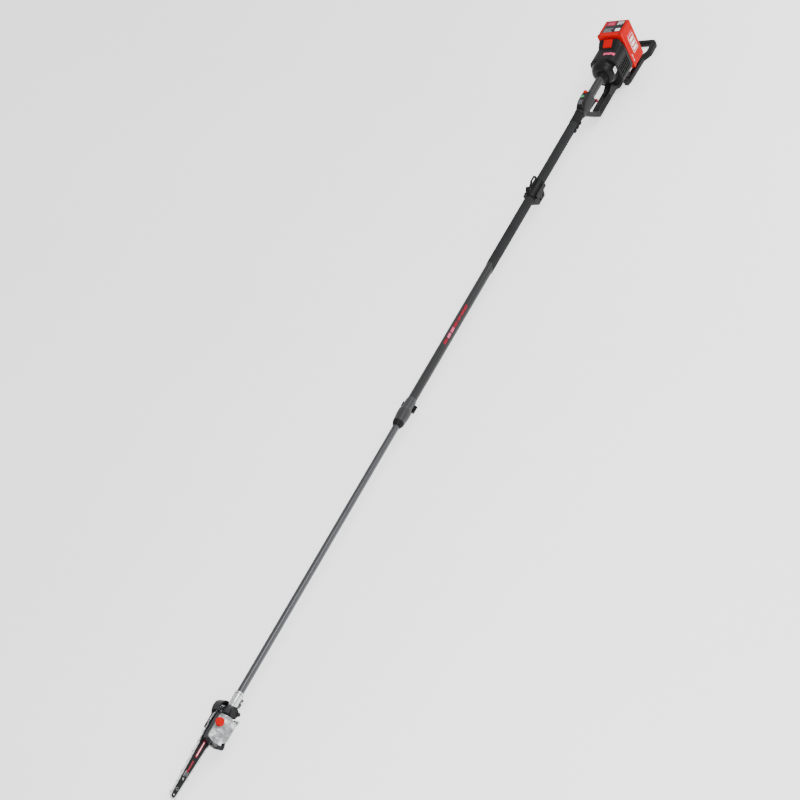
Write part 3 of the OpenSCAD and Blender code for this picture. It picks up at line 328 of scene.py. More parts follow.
class Shape:
    """Mesh in the pole's frame, in millimetres, made of closed lofts."""

    def __init__(self):
        self.bm = bmesh.new()
        self.spin = Matrix.Identity(4)

    def ring(self, points):
        return [self.bm.verts.new(self.spin @ Vector(p)) for p in points]

    def skin(self, rings, loop=True, hollow=False):
        """Faces between rings of equal length. A hollow shape closes on its first ring, others get caps."""
        made = [self.ring(r) for r in rings]
        pairs = list(zip(made, made[1:])) + ([(made[-1], made[0])] if hollow else [])
        for low, high in pairs:
            count = len(low)
            for i in range(count if loop else count - 1):
                j = (i + 1) % count
                self.bm.faces.new((low[i], low[j], high[j], high[i]))
        if loop and not hollow:
            self.bm.faces.new(made[0])
            self.bm.faces.new(made[-1])
        return self

    def prism(self, outline, low, high, axis):
        return self.skin([[lifted(axis, p, h) for p in outline] for h in (low, high)])

    def pillow(self, outline, low, high, axis, radius, steps=4):
        """Prism over a convex outline with its rims rounded."""
        rims = [pi / 2 * k / steps for k in range(steps + 1)]
        rings = [(radius * (1 - sin(t)), low + radius * (1 - cos(t))) for t in rims]
        rings += [(radius * (1 - sin(t)), high - radius * (1 - cos(t))) for t in reversed(rims)]
        return self.skin([[lifted(axis, p, h) for p in shrunk(outline, inset)] for inset, h in rings])

    def turned(self, profile, axis="x", centre=(0.0, 0.0), count=72, hollow=False):
        """Profile of (place along the axis, radius) turned round the axis."""
        return self.skin(
            [[lifted(axis, p, h) for p in circle(max(r, 0.02), count, centre)] for h, r in profile], hollow=hollow
        )

    def placed(self, name):
        """The mesh moved to the row frame, as an object of the scene."""
        for vert in self.bm.verts:
            vert.co = at(*vert.co)
        mesh = bpy.data.meshes.new(name)
        self.bm.to_mesh(mesh)
        self.bm.free()
        made = bpy.data.objects.new(name, mesh)
        bpy.context.scene.collection.objects.link(made)
        return made

    def piece(self, name, look, body="powerhead", slot=None, bevel=0.0, steps=2, angle=40, cad=(), sharp=None):
        """A visual piece that rides a body and stands for the CAD nodes named. The slot argument is not used."""
        bmesh.ops.recalc_face_normals(self.bm, faces=self.bm.faces)
        if sharp:
            weights = self.bm.edges.layers.float.new("bevel_weight_edge")
            for edge in self.bm.edges:
                edge[weights] = sharp(edge)
        made = self.placed(name)
        made.data.shade_smooth()
        made.data.set_sharp_from_angle(angle=radians(angle))
        made.data.materials.append(LOOKS[look])
        if bevel:
            add_bevel(made, bevel, steps, angle, "WEIGHT" if sharp else "ANGLE")
        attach(made, body)
        if cad:
            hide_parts(*cad)
        return made


def add_bevel(obj, width, steps, angle, method="ANGLE"):
    edge = obj.modifiers.new("edge", "BEVEL")
    edge.width = width * MM
    edge.segments = steps
    edge.limit_method = method
    edge.angle_limit = radians(angle)
    edge.harden_normals = True
    edge.miter_outer = "MITER_ARC"


def carve(obj, cutter):
    """Takes the cutter shape out of obj's mesh for good."""
    bmesh.ops.recalc_face_normals(cutter.bm, faces=cutter.bm.faces)
    tool = cutter.placed("cutter")
    cut = obj.modifiers.new("cut", "BOOLEAN")
    cut.object = tool
    cut.solver = "EXACT"
    obj.modifiers.move(len(obj.modifiers) - 1, 0)
    later = [m for m in obj.modifiers if m.name != "cut"]
    for m in later:
        m.show_viewport = False
    view = bpy.context.evaluated_depsgraph_get()
    carved = bpy.data.meshes.new_from_object(obj.evaluated_get(view))
    carved.name = obj.name
    obj.data = carved
    obj.modifiers.remove(cut)
    for m in later:
        m.show_viewport = True
    bpy.data.objects.remove(tool)
    carved.shade_smooth()
    carved.set_sharp_from_angle(angle=radians(32))


# ---- Powerhead: battery ----
def battery():
    """Battery case with grooves, raised cheeks, rear ribs and front screws. Returns its size for the prints."""
    (x0, _, z0), (x1, _, z1) = span("battery_case")
    half = span("battery_case")[1][1]
    plan = rounded(block(x0, x1, -half, half), 8, 6)
    levels = [(0.0, 3.2), (0.5, 1.6), (1.6, 0.5), (3.2, 0.0)]
    rings = [(z0 + h, inset) for h, inset in levels]
    for groove in (-58.0, 60.0):
        rings += [(groove, 0.0), (groove + 0.5, 0.9), (groove + 1.7, 0.9), (groove + 2.2, 0.0)]
    rings += [(z1 - h, inset) for h, inset in reversed(levels)]
    shell = Shape().skin([[(p.x, p.y, h) for p in shrunk(plan, inset)] for h, inset in rings])
    shell.piece("battery_shell", "red", "battery", cad=["battery_case"])

    cheeks = Shape()
    for low, high in both_sides(half - 0.5, half + 0.7):
        cheeks.pillow(rounded(block(x0 + 9, x1 - 6, -50, 52), 6), low, high, "y", 0.6, 3)
    cheeks.pillow(rounded(block(-40, 40, -44, 46), 7), x0 - 0.7, x0 + 0.5, "x", 0.6, 3)
    cheeks.piece("battery_cheeks", "red", "battery")

    ribs = Shape()
    for k in range(6):
        ribs.pillow(rounded(block(-30, 30, -30 + 12 * k, -25 + 12 * k), 2.2), x0 - 1.6, x0, "x", 0.6, 3)
    ribs.piece("battery_ribs", "red", "battery")

    front_x = span("battery_base")[1][0]
    screws = Shape()
    for y in (-half + 9, half - 9):
        screws.turned(shifted(z1, 0, [(0.05, 4.4), (0.35, 4.4), (0.45, 4.0), (0.1, 3.0)]), "z", (front_x - 7, y), 24)
    screws.piece("battery_screws", "collar_dark", "battery", "black_plastic")
    return x0, x1, half, z1


def marks(name, look, body, boxes, plane, level, proud=0.25, slant=0.0, corner=0.8):
    """Flat printed blocks, each (a0, a1, b0, b1), lying on a plane at level."""
    shape = Shape()
    for a0, a1, b0, b1 in boxes:
        lean = slant * (b1 - b0)
        outline = rounded([(a0, b0), (a1, b0), (a1 + lean, b1), (a0 + lean, b1)], corner, 3)
        low, high = sorted((level, level + proud))
        shape.prism(outline, low, high, plane)
    return shape.piece(name, look, body, "label", angle=30)


def battery_prints(x0, x1, half, z1):
    (lx0, ly0, _), (lx1, ly1, high) = span("battery_label")
    top = high - 0.3
    Shape().pillow(rounded(block(lx0, lx1, ly0, ly1), 4), z1 - 0.4, top, "z", 0.3, 2).piece(
        "label_sheet", "label", "battery", cad=["battery_label"])
    marks("label_print_grey", "grey_print", "battery",
          [(x1 - 14 - 9 * k, x1 - 9 - 9 * k, -38, 4 - 7 * (k % 2)) for k in range(3)], "z", top - 0.1, 0.35)
    marks("label_print_red", "red_dark", "battery", [(x0 + 12, x0 + 36, -40, 2)], "z", top - 0.1, 0.35)
    marks("label_print_pink", "pink", "battery",
          [(x0 + 16 + 6 * k, x0 + 19 + 6 * k, -34, -4) for k in range(3)], "z", top - 0.05, 0.33)
    marks("label_print_white", "white", "battery",
          [(x1 - 30, x1 - 12, 16, 38), (x0 + 12, x0 + 34, 12, 16), (x0 + 12, x0 + 30, 20, 23),
           (x0 + 12, x0 + 33, 27, 30), (x0 + 12, x0 + 27, 34, 37)], "z", top - 0.1, 0.35)
    side = half + 0.7
    frame_width = 2.2
    fx0, fx1, fz0, fz1 = x0 + 24, x1 - 20, -38, 38
    marks("side_print_frame", "white", "battery",
          [(fx0, fx1, fz0, fz0 + frame_width), (fx0, fx1, fz1 - frame_width, fz1),
           (fx0, fx0 + frame_width, fz0, fz1), (fx1 - frame_width, fx1, fz0, fz1)], "y", side - 0.1, 0.3)
    marks("side_print_blocks", "white", "battery",
          [(fx0 + 7, fx1 - 7, fz0 + 8 + 21 * k, fz0 + 22 + 21 * k) for k in range(3)], "y", side - 0.1, 0.3, 0.0, 3)
    marks("side_print_top", "pink", "battery",
          [(fx0 + 2 + 11 * k, fx0 + 10 + 11 * k, 43, 49) for k in range(4)], "y", side - 0.1, 0.3)
    marks("side_print_edge", "white", "battery", [(x1 - 3.4, x1 - 1.4, -66, -30)], "y", half - 0.05, 0.25)


# ---- Powerhead: housing and cover ----
SHOULDER_RISE = 20
HOUSING_CORNER = 34
COVER_BORE = 48.5
VENT_LOW, VENT_TOP = -48, 4


def housing_section(inset):
    """Left half of the housing's section, from the top's middle to the bottom's, as (y, z) points."""
    _, (_, half, shoulder) = span("housing_left")
    low = span("housing_left")[0][2]
    half, top, low, r = half - inset, shoulder - SHOULDER_RISE - inset, low + inset, HOUSING_CORNER - inset
    count = 8
    button_half = span("release_button")[1][1] + 0.5
    quarter = [pi / 2 * k / count for k in range(count + 1)]
    upper = [(half - r + r * sin(t), top - r + r * cos(t)) for t in quarter]
    lower = [(half - r + r * cos(t), low + r - r * sin(t)) for t in quarter]
    seam = 0.18
    return [(seam, top), (button_half, top)] + upper + [(half, VENT_TOP), (half, VENT_LOW)] + lower + [(seam, low)]


def housing(side, name, node):
    """Half of the motor housing with its vents and the opening for the release button."""
    x0, x1 = span(node)[0][0], span(node)[1][0]
    button_x1 = span("release_button")[1][0] + 0.5
    vents = [(x0 + 20 + 12 * k, x0 + 25 + 12 * k) for k in range(7)]
    rings = [(x0, 2.4), (x0 + 0.8, 0.8), (x0 + 2, 0), (x0 + 14, 0), (x0 + 15, 1.3), (x0 + 17.5, 1.3), (x0 + 18.5, 0)]
    rings += [(x, 0.0) for pair in vents for x in pair]
    rings += [(button_x1, 0.0), (x1 - 8, 0.0), (x1 - 7, 1.5), (x1 - 4, 1.5), (x1 - 3, 0.0), (x1 - 1, 0.0), (x1, 1.0)]
    rings = sorted(set(rings))
    sections = [[(x, side * y, z) for y, z in housing_section(inset)] for x, inset in rings]
    sections.append([
        (x1, COVER_BORE * y / hypot(y, z), COVER_BORE * z / hypot(y, z)) for _, y, z in sections[-1]
    ])
    shape = Shape()
    shape.skin(sections, loop=False)
    for face in list(shape.bm.faces):
        middle = face.calc_center_median()
        in_vent = any(a < middle.x < b for a, b in vents) and VENT_LOW < middle.z < VENT_TOP and abs(middle.y) > 50
        in_button = middle.x < button_x1 and middle.z > 45 and abs(middle.y) < 20.5 and middle.x > x0 + 0.5
        if in_vent or in_button:
            shape.bm.faces.remove(face)
    made = shape.piece(name, "black", angle=32, cad=[node])
    wall = made.modifiers.new("wall", "SOLIDIFY")
    wall.thickness = 2.6 * MM
    wall.offset = -1
    wall.use_even_offset = True
    add_bevel(made, 0.35, 2, 40)
    return made


def shoulder():
    """Raised shoulder of the housing round the release button, and a printed mark ahead of it."""
    (x0, _, _), (_, _, top) = span("housing_left")
    (bx0, by0, bz0), (bx1, by1, _) = span("release_button")
    flat = top - SHOULDER_RISE
    rings = []
    sections = [(0.0, 47, 2.0, 14), (0.7, 49, 0.6, 15), (2.2, 50, 0, 16), (10, 49.6, 3.4, 16), (24, 48.0, 10.0, 17)]
    sections += [(36, 45.6, 15.8, 18), (43, 43, 19.4, 18), (44, 41.5, 21.5, 18)]
    for x, half, high, r in sections:
        rings.append([(x0 + x, p.x, p.y) for p in rounded(block(-half, half, flat - 36, top - high), r, 7)])
    made = Shape().skin(rings).piece("housing_shoulder", "black")
    opening = Shape().prism(block(bx0 - 0.5, bx1 + 0.5, by0 - 0.5, by1 + 0.5), bz0 - 5, top + 20, "z")
    carve(made, opening)
    print_x = x0 + 64
    for k, (y0, y1) in enumerate(((-3, 8), (9.5, 17), (18.5, 30), (31.5, 38), (39.5, 47))):
        skin = []
        for lift in (0.25, -0.6):
            row = []
            for j in range(7):
                y = y0 + (y1 - y0) * j / 6
                z = flat + lift if y < 27 else flat - HOUSING_CORNER + sqrt((HOUSING_CORNER + lift) ** 2 - (y - 27) ** 2)
                row.append(Vector((y, z)))
            skin += row if lift > 0 else row[::-1]
        Shape().prism(skin, print_x, print_x + (12 if k % 2 else 14), "x").piece(
            f"housing_mark_{k}", "pink")


def fins():
    """Guide fins between the vents on both sides."""
    (x0, _, low), (x1, half, _) = span("housing_left")
    shape = Shape()
    for near, far in both_sides(half - 1, half + 1.1):
        for k in range(8):
            x = x0 + 15.3 + 12 * k
            shape.pillow(rounded(block(x, x + 3.4, -50, 6), 1.5, 3), near, far, "y", 0.8, 3)
    shape.piece("housing_fins", "cover", slot="black_plastic")


def cover_radius():
    """Outer profile of the front cover as (x, radius) points from the housing to the pole."""
    (x0, _, _), (x1, half, _) = span("front_cover")
    boss = 24.0
    dome = []
    for k in range(11):
        t = pi / 2 * k / 10
        dome.append((x0 + 11 + 29 * sin(t) ** 1.15, boss + 2.5 + (half - 5 - boss) * cos(t) ** 0.9))
    return (
        shifted(x0, half, [(0.2, -1.2), (1.2, -0.1), (7, -0.1), (8.2, -1.3), (8.6, -2.6)])
        + dome
        + shifted(x1, boss, [(-15, 1.2), (-14.2, -0.2), (-5.5, -0.2), (-5, -1)])
        + shifted(x1, boss, [(-4, -1), (-3.5, -0.2), (-1.6, -0.3), (-0.3, -1.8)])
    )


def radius_at(profile, x):
    for (xa, ra), (xb, rb) in zip(profile, profile[1:]):
        if xa <= x <= xb:
            return ra + (rb - ra) * (x - xa) / max(xb - xa, 1e-6)
    return profile[-1][1]


def front_cover():
    """Round cover with its bore for the tube, ribs and screws."""
    outer = cover_radius()
    (x0, _, _), (x1, _, _) = span("front_cover")
    tube = span("outer_tube")[1][1] + 0.1
    inner = [(x1 - 0.3, tube), (x1 - 26, tube), (x1 - 26, 14.5)]
    inner += shifted(x0, 0, [(24, 14.5), (20, 30), (12, 46), (0.2, 47)])
    made = Shape().turned(outer + inner, hollow=True, count=96)
    made.piece("cover_dome", "cover", angle=28, cad=["front_cover"])
    ribs = Shape()
    for k in range(10):
        ribs.spin = rotated(36 * k + 18, "X")
        rows = []
        for j in range(9):
            x = x0 + 16 + 22 * j / 8
            r = radius_at(outer, x)
            rows.append([(x, -1.1, r - 1), (x, -0.8, r + 0.5), (x, 0.8, r + 0.5), (x, 1.1, r - 1)])
        ribs.skin(rows)
    ribs.piece("cover_ribs", "cover")
    screws = Shape()
    for k in range(4):
        a = radians(45 + 90 * k)
        spot = (49.5 * cos(a), 49.5 * sin(a))
        screws.turned(shifted(x0, 0, [(6, 3.6), (10.4, 3.6), (10.8, 3.2), (10.8, 1.8), (9.6, 1.7)]), "x", spot, 20)
    screws.piece("cover_screws", "dark_steel")


def cover_badge():
    """Square plate with plain strokes on the left of the cover."""
    x0, half = span("front_cover")[0][0] + 1.5, span("front_cover")[1][1]
    low, size = -1.5, 23
    pad = rounded(block(x0, x0 + size + 2, low - 1, low + size + 1), 3, 4)
    Shape().pillow(pad, half - 16, half + 0.6, "y", 0.6, 3).piece("badge_pad", "cover")
    marks("badge_plate", "white", "powerhead", [(x0 + 1, x0 + 1 + size, low, low + size)], "y", half + 0.5, 0.3,
        corner=2)
    marks("badge_strokes", "grey_print", "powerhead",
          [(x0 + 4, x0 + 8, low + 3, low + 20), (x0 + 10.5, x0 + 14, low + 3, low + 12),
              (x0 + 10.5, x0 + 21, low + 15, low + 19),
           (x0 + 16.5, x0 + 20.5, low + 4, low + 12)], "y", half + 0.6, 0.3)


def wrapped(name, look, body, slot, profile, corners, steps=10, proud=0.25, depth=0.4):
    """Thin badge on a turned surface. Corners are (x, angle in degrees) of a four-sided patch."""
    a, b, c, d = [Vector(p) for p in corners]
    shape = Shape()
    layers = []
    for lift in (proud, -depth):
        grid = []
        for i in range(steps + 1):
            for j in range(steps + 1):
                s, t = i / steps, j / steps
                spot = a.lerp(b, s).lerp(d.lerp(c, s), t)
                r, turn = radius_at(profile, spot.x) + lift, radians(spot.y)
                grid.append(shape.bm.verts.new((spot.x, r * cos(turn), r * sin(turn))))
        layers.append(grid)
    n = steps + 1
    for grid in layers:
        for i in range(steps):
            for j in range(steps):
                k = i * n + j
                shape.bm.faces.new((grid[k], grid[k + 1], grid[k + n + 1], grid[k + n]))
    rim = [i * n for i in range(n)] + [steps * n + j for j in range(1, n)]
    rim += [i * n + steps for i in reversed(range(steps))] + list(reversed(range(1, steps)))
    upper, lower = layers
    for k, here in enumerate(rim):
        after = rim[(k + 1) % len(rim)]
        shape.bm.faces.new((upper[here], upper[after], lower[after], lower[here]))
    return shape.piece(name, look, body, slot, angle=50)


# ---- Handle, pod and guard ----
def guard():
    """Rear guard: a loop behind the battery that narrows below it, and the block under the housing."""
    (x0, _, low), (x1, half, high) = span("rear_guard")
    thick = 24
    waist, loop = half - 21, span("battery_case")[0][0] - 23
    block_x = span("housing_left")[0][0] + 6
    mid = thick / 2
    left = [
        (x0 + mid, half - 30, 6), (x0 + mid + 1, half - 20, 9), (x0 + mid + 16, half - mid, 14),
        (loop - 3, half - mid, 30),
        (loop + 27, waist - mid, 30), (x1 - 20, waist - mid - 4, 20), (x1 - 0.2, waist - mid - 9, 0),
    ]
    line = [(x, -y, r) for x, y, r in reversed(left)] + left
    path = rounded(line, 5, 7)
    section = rounded([(-mid, low), (mid, low), (mid, low + thick), (-mid, low + thick)], 7.5, 6)
    rings = []
    for k, here in enumerate(path):
        along = (path[min(k + 1, len(path) - 1)] - path[max(k - 1, 0)]).normalized()
        rings.append([(here.x - along.y * across, here.y + along.x * across, z) for across, z in section])
    shape = Shape().skin(rings)
    side_view = rounded([(block_x, low), (x1 - 20, low, 8), (x1, low + 16, 6), (x1, high, 1), (block_x, high, 1)], 5, 5)
    shape.pillow(side_view, -36, 36, "y", 5, 4)
    shape.piece("guard_rails", "black", angle=42, cad=["rear_guard"])


def handle():
    """Two moulded halves: foot, grip and front leg, and the cradle that holds the pole."""
    (x0, _, low), (x1, _, _) = span("handle_right")
    foot_top = span("housing_left")[0][2]
    hx1 = span("housing_left")[1][0] + 1
    grip_top, grip_low = -68, -98
    leg = x1 - 4
    outline = [
        (x0, low, 5), (x0 + 34, low, 9), (x0 + 62, grip_low, 16), (leg - 92, grip_low, 9), (leg, -14, 6), (leg, -4, 2),
        (leg - 106, -4, 2), (leg - 106, -24, 6), (leg - 34, -24, 9), (leg - 96, grip_top - 3, 9),
        (leg - 104, grip_top, 6),
        (x0 + 110, grip_top, 12), (x0 + 84, grip_top + 10, 10), (x0 + 66, grip_top + 24, 10), (x0 + 58, -30, 3),
        (hx1, -30, 2), (hx1, foot_top, 3), (x0, foot_top, 3),
    ]
    points = rounded(outline, 6, 4)
    px0, px1 = span("control_pod")[0][0] + 4, span("control_pod")[1][0] - 10
    tube = span("outer_tube")[1][1] + 0.15
    cradle_half = span("handle_left")[1][1]
    for side, name, node in ((1, "handle_shell_left", "handle_left"), (-1, "handle_shell_right", "handle_right")):
        shape = Shape()
        seam, outer = side * 0.15, side * 15.0
        shape.prism(points, seam, outer, "y")
        arc = [(side * tube * sin(radians(t)), -tube * cos(radians(t))) for t in range(90, -1, -10)]
        section = [(side * 0.15, -22), (side * 10, -22), (side * 16, -19), (side * cradle_half, -13),
            (side * cradle_half, 0)]
        section += [(side * 17.9, 0)] + [(side * max(0.15, abs(y)), z) for y, z in arc]
        shape.prism(section, px0, px1, "x")

        def weight(edge, seam=seam):
            on_seam = all(abs(v.co.y - seam) < 0.01 for v in edge.verts)
            across = abs(edge.verts[0].co.y - edge.verts[1].co.y) > 1
            in_cradle = all(v.co.z > -22.5 and abs(v.co.x) > px0 - 0.1 and abs(v.co.x) < px1 + 0.1 for v in edge.verts)
            if edge.calc_face_angle(0.0) < radians(28):
                return 0.0
            return 0.06 if on_seam else (0.3 if in_cradle or across else 1.0)

        made = shape.piece(name, "black", bevel=5.5, steps=4, angle=35, cad=[node], sharp=weight)
        made.modifiers["edge"].miter_outer = "MITER_SHARP"
    pads = Shape()
    outline = rounded([(x0 + 112, -94), (x1 - 108, -94), (x1 - 112, -72), (x0 + 116, -72)], 8, 5)
    for near, far in both_sides(14.4, 15.7):
        pads.pillow(outline, near, far, "y", 0.9, 3)
    pads.piece("grip_pads", "black_soft")
    dots = Shape()
    for side in (-1, 1):
        for i in range(14):
            for j in range(3):
                spot = (x0 + 124 + 6.6 * i, -89 + 6.2 * j + (3.1 if i % 2 else 0) - 1.5)
                near, far = (15.5, 16.2) if side > 0 else (-15.5, -16.2)
                dots.turned([(near, 1.5), (far - side * 0.2, 1.4), (far, 0.9)], "y", spot, 10)
    dots.piece("grip_dots", "black_soft", angle=60)


def pod():
    """Control pod over the pole with its start button, lamp, front ring and a lighter patch on its top that is a
    painted highlight.
    """
    (x0, _, _), (x1, ring_half, top) = span("control_pod")
    half = ring_half - 2
    body_x1 = x1 - 22
    rows = [
        (0.0, 0.86, 0.56), (0.02, 0.93, 0.64), (0.06, 0.98, 0.78), (0.12, 1.0, 0.90), (0.20, 1.0, 0.98),
        (0.34, 1.0, 1.0),
        (0.58, 1.0, 1.0), (0.70, 1.0, 0.97), (0.80, 1.0, 0.88), (0.88, 0.99, 0.76), (0.95, 0.97, 0.64),
        (1.0, 0.96, 0.57),
    ]
    rings = []
    for share, wide, tall in rows:
        x, w, z = x0 + share * (body_x1 - x0), half * wide, top * tall
        ring = [(x, -w, 0.2)]
        for k in range(17):
            t = pi * k / 16
            ring.append((x, -w * copysign(abs(cos(t)) ** 0.7, cos(t)), 0.2 + (z - 0.2) * sin(t) ** 0.62))
        ring.append((x, w, 0.2))
        rings.append(ring)
    made = Shape().skin(rings).piece("pod_shell", "cover", bevel=0.8, angle=50, cad=["control_pod"])
    sleeve = span("grip_sleeve")[1][1] + 0.15
    profile = [(body_x1 - 2, sleeve - 1.4)]
    profile += shifted(body_x1, ring_half, [(-2, -3), (0, -2.4), (3, -2.4), (5, -0.4), (6, 0)])
    profile += shifted(x1, ring_half, [(-4, 0), (-2.5, -0.6)]) + shifted(x1, sleeve, [(0, 0.5), (0, 0)])
    profile += shifted(body_x1, sleeve, [(2.2, 0), (2, -1.6)])
    cuff = Shape().turned(profile, hollow=True)
    cuff.piece("pod_cuff", "black", angle=35)
    (bx0, _, _), (bx1, bhalf, btop) = span("power_button")
    (lx0, _, _), (lx1, lhalf, _) = span("status_light")
    button_x, light_x = (bx0 + bx1) / 2, (lx0 + lx1) / 2
    holes = Shape()
    holes.turned([(top - 22, bhalf + 0.5), (top + 8, bhalf + 0.5)], "z", (button_x, 0), 40)
    holes.turned([(top - 10, lhalf + 0.1), (top + 8, lhalf + 0.1)], "z", (light_x, 0), 32)
    carve(made, holes)
    lens = Shape().turned(
        [(top - 8, lhalf), (top - 1.0, lhalf), (top - 0.3, lhalf * 0.8), (top - 0.05, lhalf * 0.4)], "z",
        (light_x, 0), 32)
    lens.piece("lamp_lens", "green", angle=50, cad=["status_light"])
    rim = shifted(top, lhalf, [(-1.6, 0.2), (-1.4, 3.4), (-0.2, 2.8), (0.2, 0.3)])
    surround = Shape().turned(rim, "z", (light_x, 0), 40, True)
    surround.piece("lamp_surround", "green", angle=50)
    cap = Shape()
    cap.turned([(btop - 14, bhalf - 0.1), (btop - 2.2, bhalf - 0.1), (btop - 0.9, bhalf - 0.7),
        (btop - 0.2, bhalf - 2.4),
                (btop - 0.1, bhalf * 0.4), (btop - 0.3, bhalf * 0.2)], "z", (button_x, 0), 40)
    cap.piece("start_button", "red", "power_button", angle=60, cad=["power_button"])
    # Painted highlight: a lighter grey patch on the pod's upper front where the glossy shell reflects the light.
    sheen_patch = Shape()
    sheen_patch.spin = (Matrix.Translation((x0 + 76, 2, top - 6.0)) @ rotated(-14, "X")
                   @ rotated(20, "Y"))
    sheen_patch.pillow(rounded(block(-11, 11, -8, 8), 3), -3, 3.4, "z", 0.8, 3)
    sheen_patch.piece("pod_painted_sheen", "sheen_grey")


def release_button():
    """Ridged release button on the shoulder."""
    (x0, y0, z0), (x1, y1, z1) = span("release_button")
    front = z1 - 15
    profile = rounded([(x0, z0, 1), (x1, z0, 1), (x1, front - 1, 3), (x0 + 3, z1 - 0.1, 4), (x0, z1 - 1.5, 1)], 2, 5)
    shape = Shape().pillow(profile, y0 + 0.05, y1 - 0.05, "y", 1.8, 4)
    start, end = Vector((x0 + 8, z1 - 2.9)), Vector((x1 - 6, front + 1.9))
    along = (end - start).normalized()
    out = Vector((-along.y, along.x))
    for k in range(4):
        centre = start.lerp(end, k / 3)
        ridge = [centre - along * 1.3 - out, centre + along * 1.3 - out, centre + along + out * 0.9,
            centre - along + out * 0.9]
        shape.pillow(rounded([(p.x, p.y) for p in ridge], 0.5, 3), y0 + 8, y1 - 8, "y", 0.6, 3)
    shape.piece("release_cap", "red", "release_button", cad=["release_button"])


def lock_off_knob():
    """Star-shaped knob at the rear end of the lock-off lever."""
    (x0, _, z0), _ = span("lock_off_lever")
    centre = (x0 + 6, z0 + 6)
    outline = []
    for k in range(60):
        t = 2 * pi * k / 60
        r = 6.3 + 0.9 * cos(6 * t)
        outline.append(Vector((centre[0] + r * cos(t), centre[1] + r * sin(t))))
    shape = Shape().pillow(outline, -7.0, 7.0, "y", 1.2, 4)
    shape.piece("lock_off_knob", "red_dark", "lock_off_lever")


# ---- Pole ----
def straight_profile(node):
    low, high = span(node)
    return [(low[0], high[1]), (high[0], high[1])]


def pole():
    """Grip sleeve's front boot and lobes, and the red stripes along the outer tube."""
    (x0, _, _), (_, r, _) = span("grip_sleeve")
    x = span("control_pod")[1][0]
    cuff = shifted(x, r, [(-1, -0.3), (-1, 0.9), (2, 1.3), (50, 1.3), (54, 0.9), (55, -0.2), (40, -0.4)])
    boot = Shape().turned(cuff, hollow=True)
    boot.piece("sleeve_boot", "black_soft", slot="sleeve_grip", angle=45)
    lobes = Shape()
    lobes.spin = rotated(63, "X")
    for k in range(3):
        centre = x + 38 + 24 * k
        lobes.pillow(rounded(block(centre - 8, centre + 8, -7, 7), 6, 6), -r - 6.5, -r + 3, "z", 3.5, 5)
    lobes.pillow(rounded(block(x + 26, x + 98, -5, 5), 4, 5), -r - 1.6, -r + 2, "z", 1.2, 4)
    lobes.piece("sleeve_lobes", "black_soft", slot="sleeve_grip", angle=50)
    profile = straight_profile("outer_tube")
    red_at = span("lock_collar")[0][0] - 480
    for k in range(7):
        x0 = red_at + 30 * k
        length = 24 if k % 3 else 27
        wrapped(f"tube_stripe_{k}", "pink" if k in (4, 5) else "red_dark", "powerhead", "red_plastic", profile,
                [(x0, 36), (x0 + length, 33), (x0 + length - 3, 66), (x0 - 3, 69)], 8, 0.12, 0.1)


def lock_collar():
    """Clamp collar with its grooved nose, its dividing groove and the two ears of the lever."""
    (x0, _, _), (x1, _, _) = span("lock_collar")
    outer = span("outer_tube")[1][1]
    inner = span("inner_tube")[1][1]
    joint = span("outer_tube")[1][0]
    slim, wide = outer + 2.85, outer + 7.85
    profile = shifted(x0, outer, [(0, 0.3), (0, 1.0)])
    profile += shifted(x0, slim, [(10, -0.2), (12, 0.4), (47, 0.4), (49, 0.8)])
    profile += shifted(x0, wide, [(58, -0.6), (61, 0), (66, 0), (96, -1.8), (112, -2.6), (113, -3.4), (114.5, -3.4)])
    profile += [(x0 + 114.6, inner + 1.4), (joint, inner + 1.4), (joint, outer + 0.05)]
    Shape().turned(profile, hollow=True, count=96).piece(
        "collar_body", "collar", angle=30, cad=["lock_collar"])
    nose = [(x0 + 114.5, inner + 1.2)] + shifted(x0, wide, [(114.5, -3.3), (116, -2.9), (121, -3.3)])
    nose += shifted(x1, inner, [(-3, 3.6), (-0.6, 2.4), (0, 1.3)])
    Shape().turned(nose, hollow=True, count=96).piece("collar_nose", "collar_dark", angle=30)
    flutes = Shape()
    for k in range(24):
        flutes.spin = rotated(15 * k, "X")
        rows = []
        for j in range(7):
            t = j / 6
            x = x0 + 66 + 40 * t
            r = radius_at(profile, x)
            lift = 0.7 * sin(pi * t) ** 0.5
            rows.append([(x, -1.2, r - 0.8), (x, -0.7, r + lift - 0.05), (x, 0.7, r + lift - 0.05), (x, 1.2, r - 0.8)])
        flutes.skin(rows)
    flutes.piece("collar_flutes", "collar")
    pin_low, pin_high = span("lever_pin")
    px0, px1 = pin_low[0] + 0.5, pin_high[0] - 0.5
    arm = (pin_low[1] + pin_high[1]) / 2 * sqrt(2)
    ears = Shape()
    ears.spin = rotated(-45, "X")
    reach = arm + 4.2
    outline = rounded([(slim - 4, -6.5), (reach, -5, 4.6), (reach, 5, 4.6), (slim - 4, 6.5)], 1, 6)
    for a, b in ((px0, px0 + 5), (px1 - 5, px1)):
        ears.pillow(outline, a, b, "x", 0.8, 3)
    ears.piece("collar_ears", "collar_dark")


# ---- Saw head ----
def socket():
    """Bright sleeve over the head's tube socket, ending in a raised band."""
    x0, r = span("gear_case")[0][0], span("inner_tube")[1][1] + 3.3
    length = 58
    profile = shifted(x0, r, [(-0.2, -3.2), (-0.2, -0.9), (0.8, 0.12), (7, 0.12), (7.5, -0.5), (9, -0.5), (9.5, 0.12)])
    profile += shifted(x0 + length, r, [(-6, 0.12), (-4, 0.7), (0, 0.7), (0, -0.5)])
    profile += shifted(x0, r, [(12, -0.4), (1, -1)])
    Shape().turned(profile, hollow=True, count=96).piece("socket_sleeve", "bright_alloy", "front_pole", angle=30)


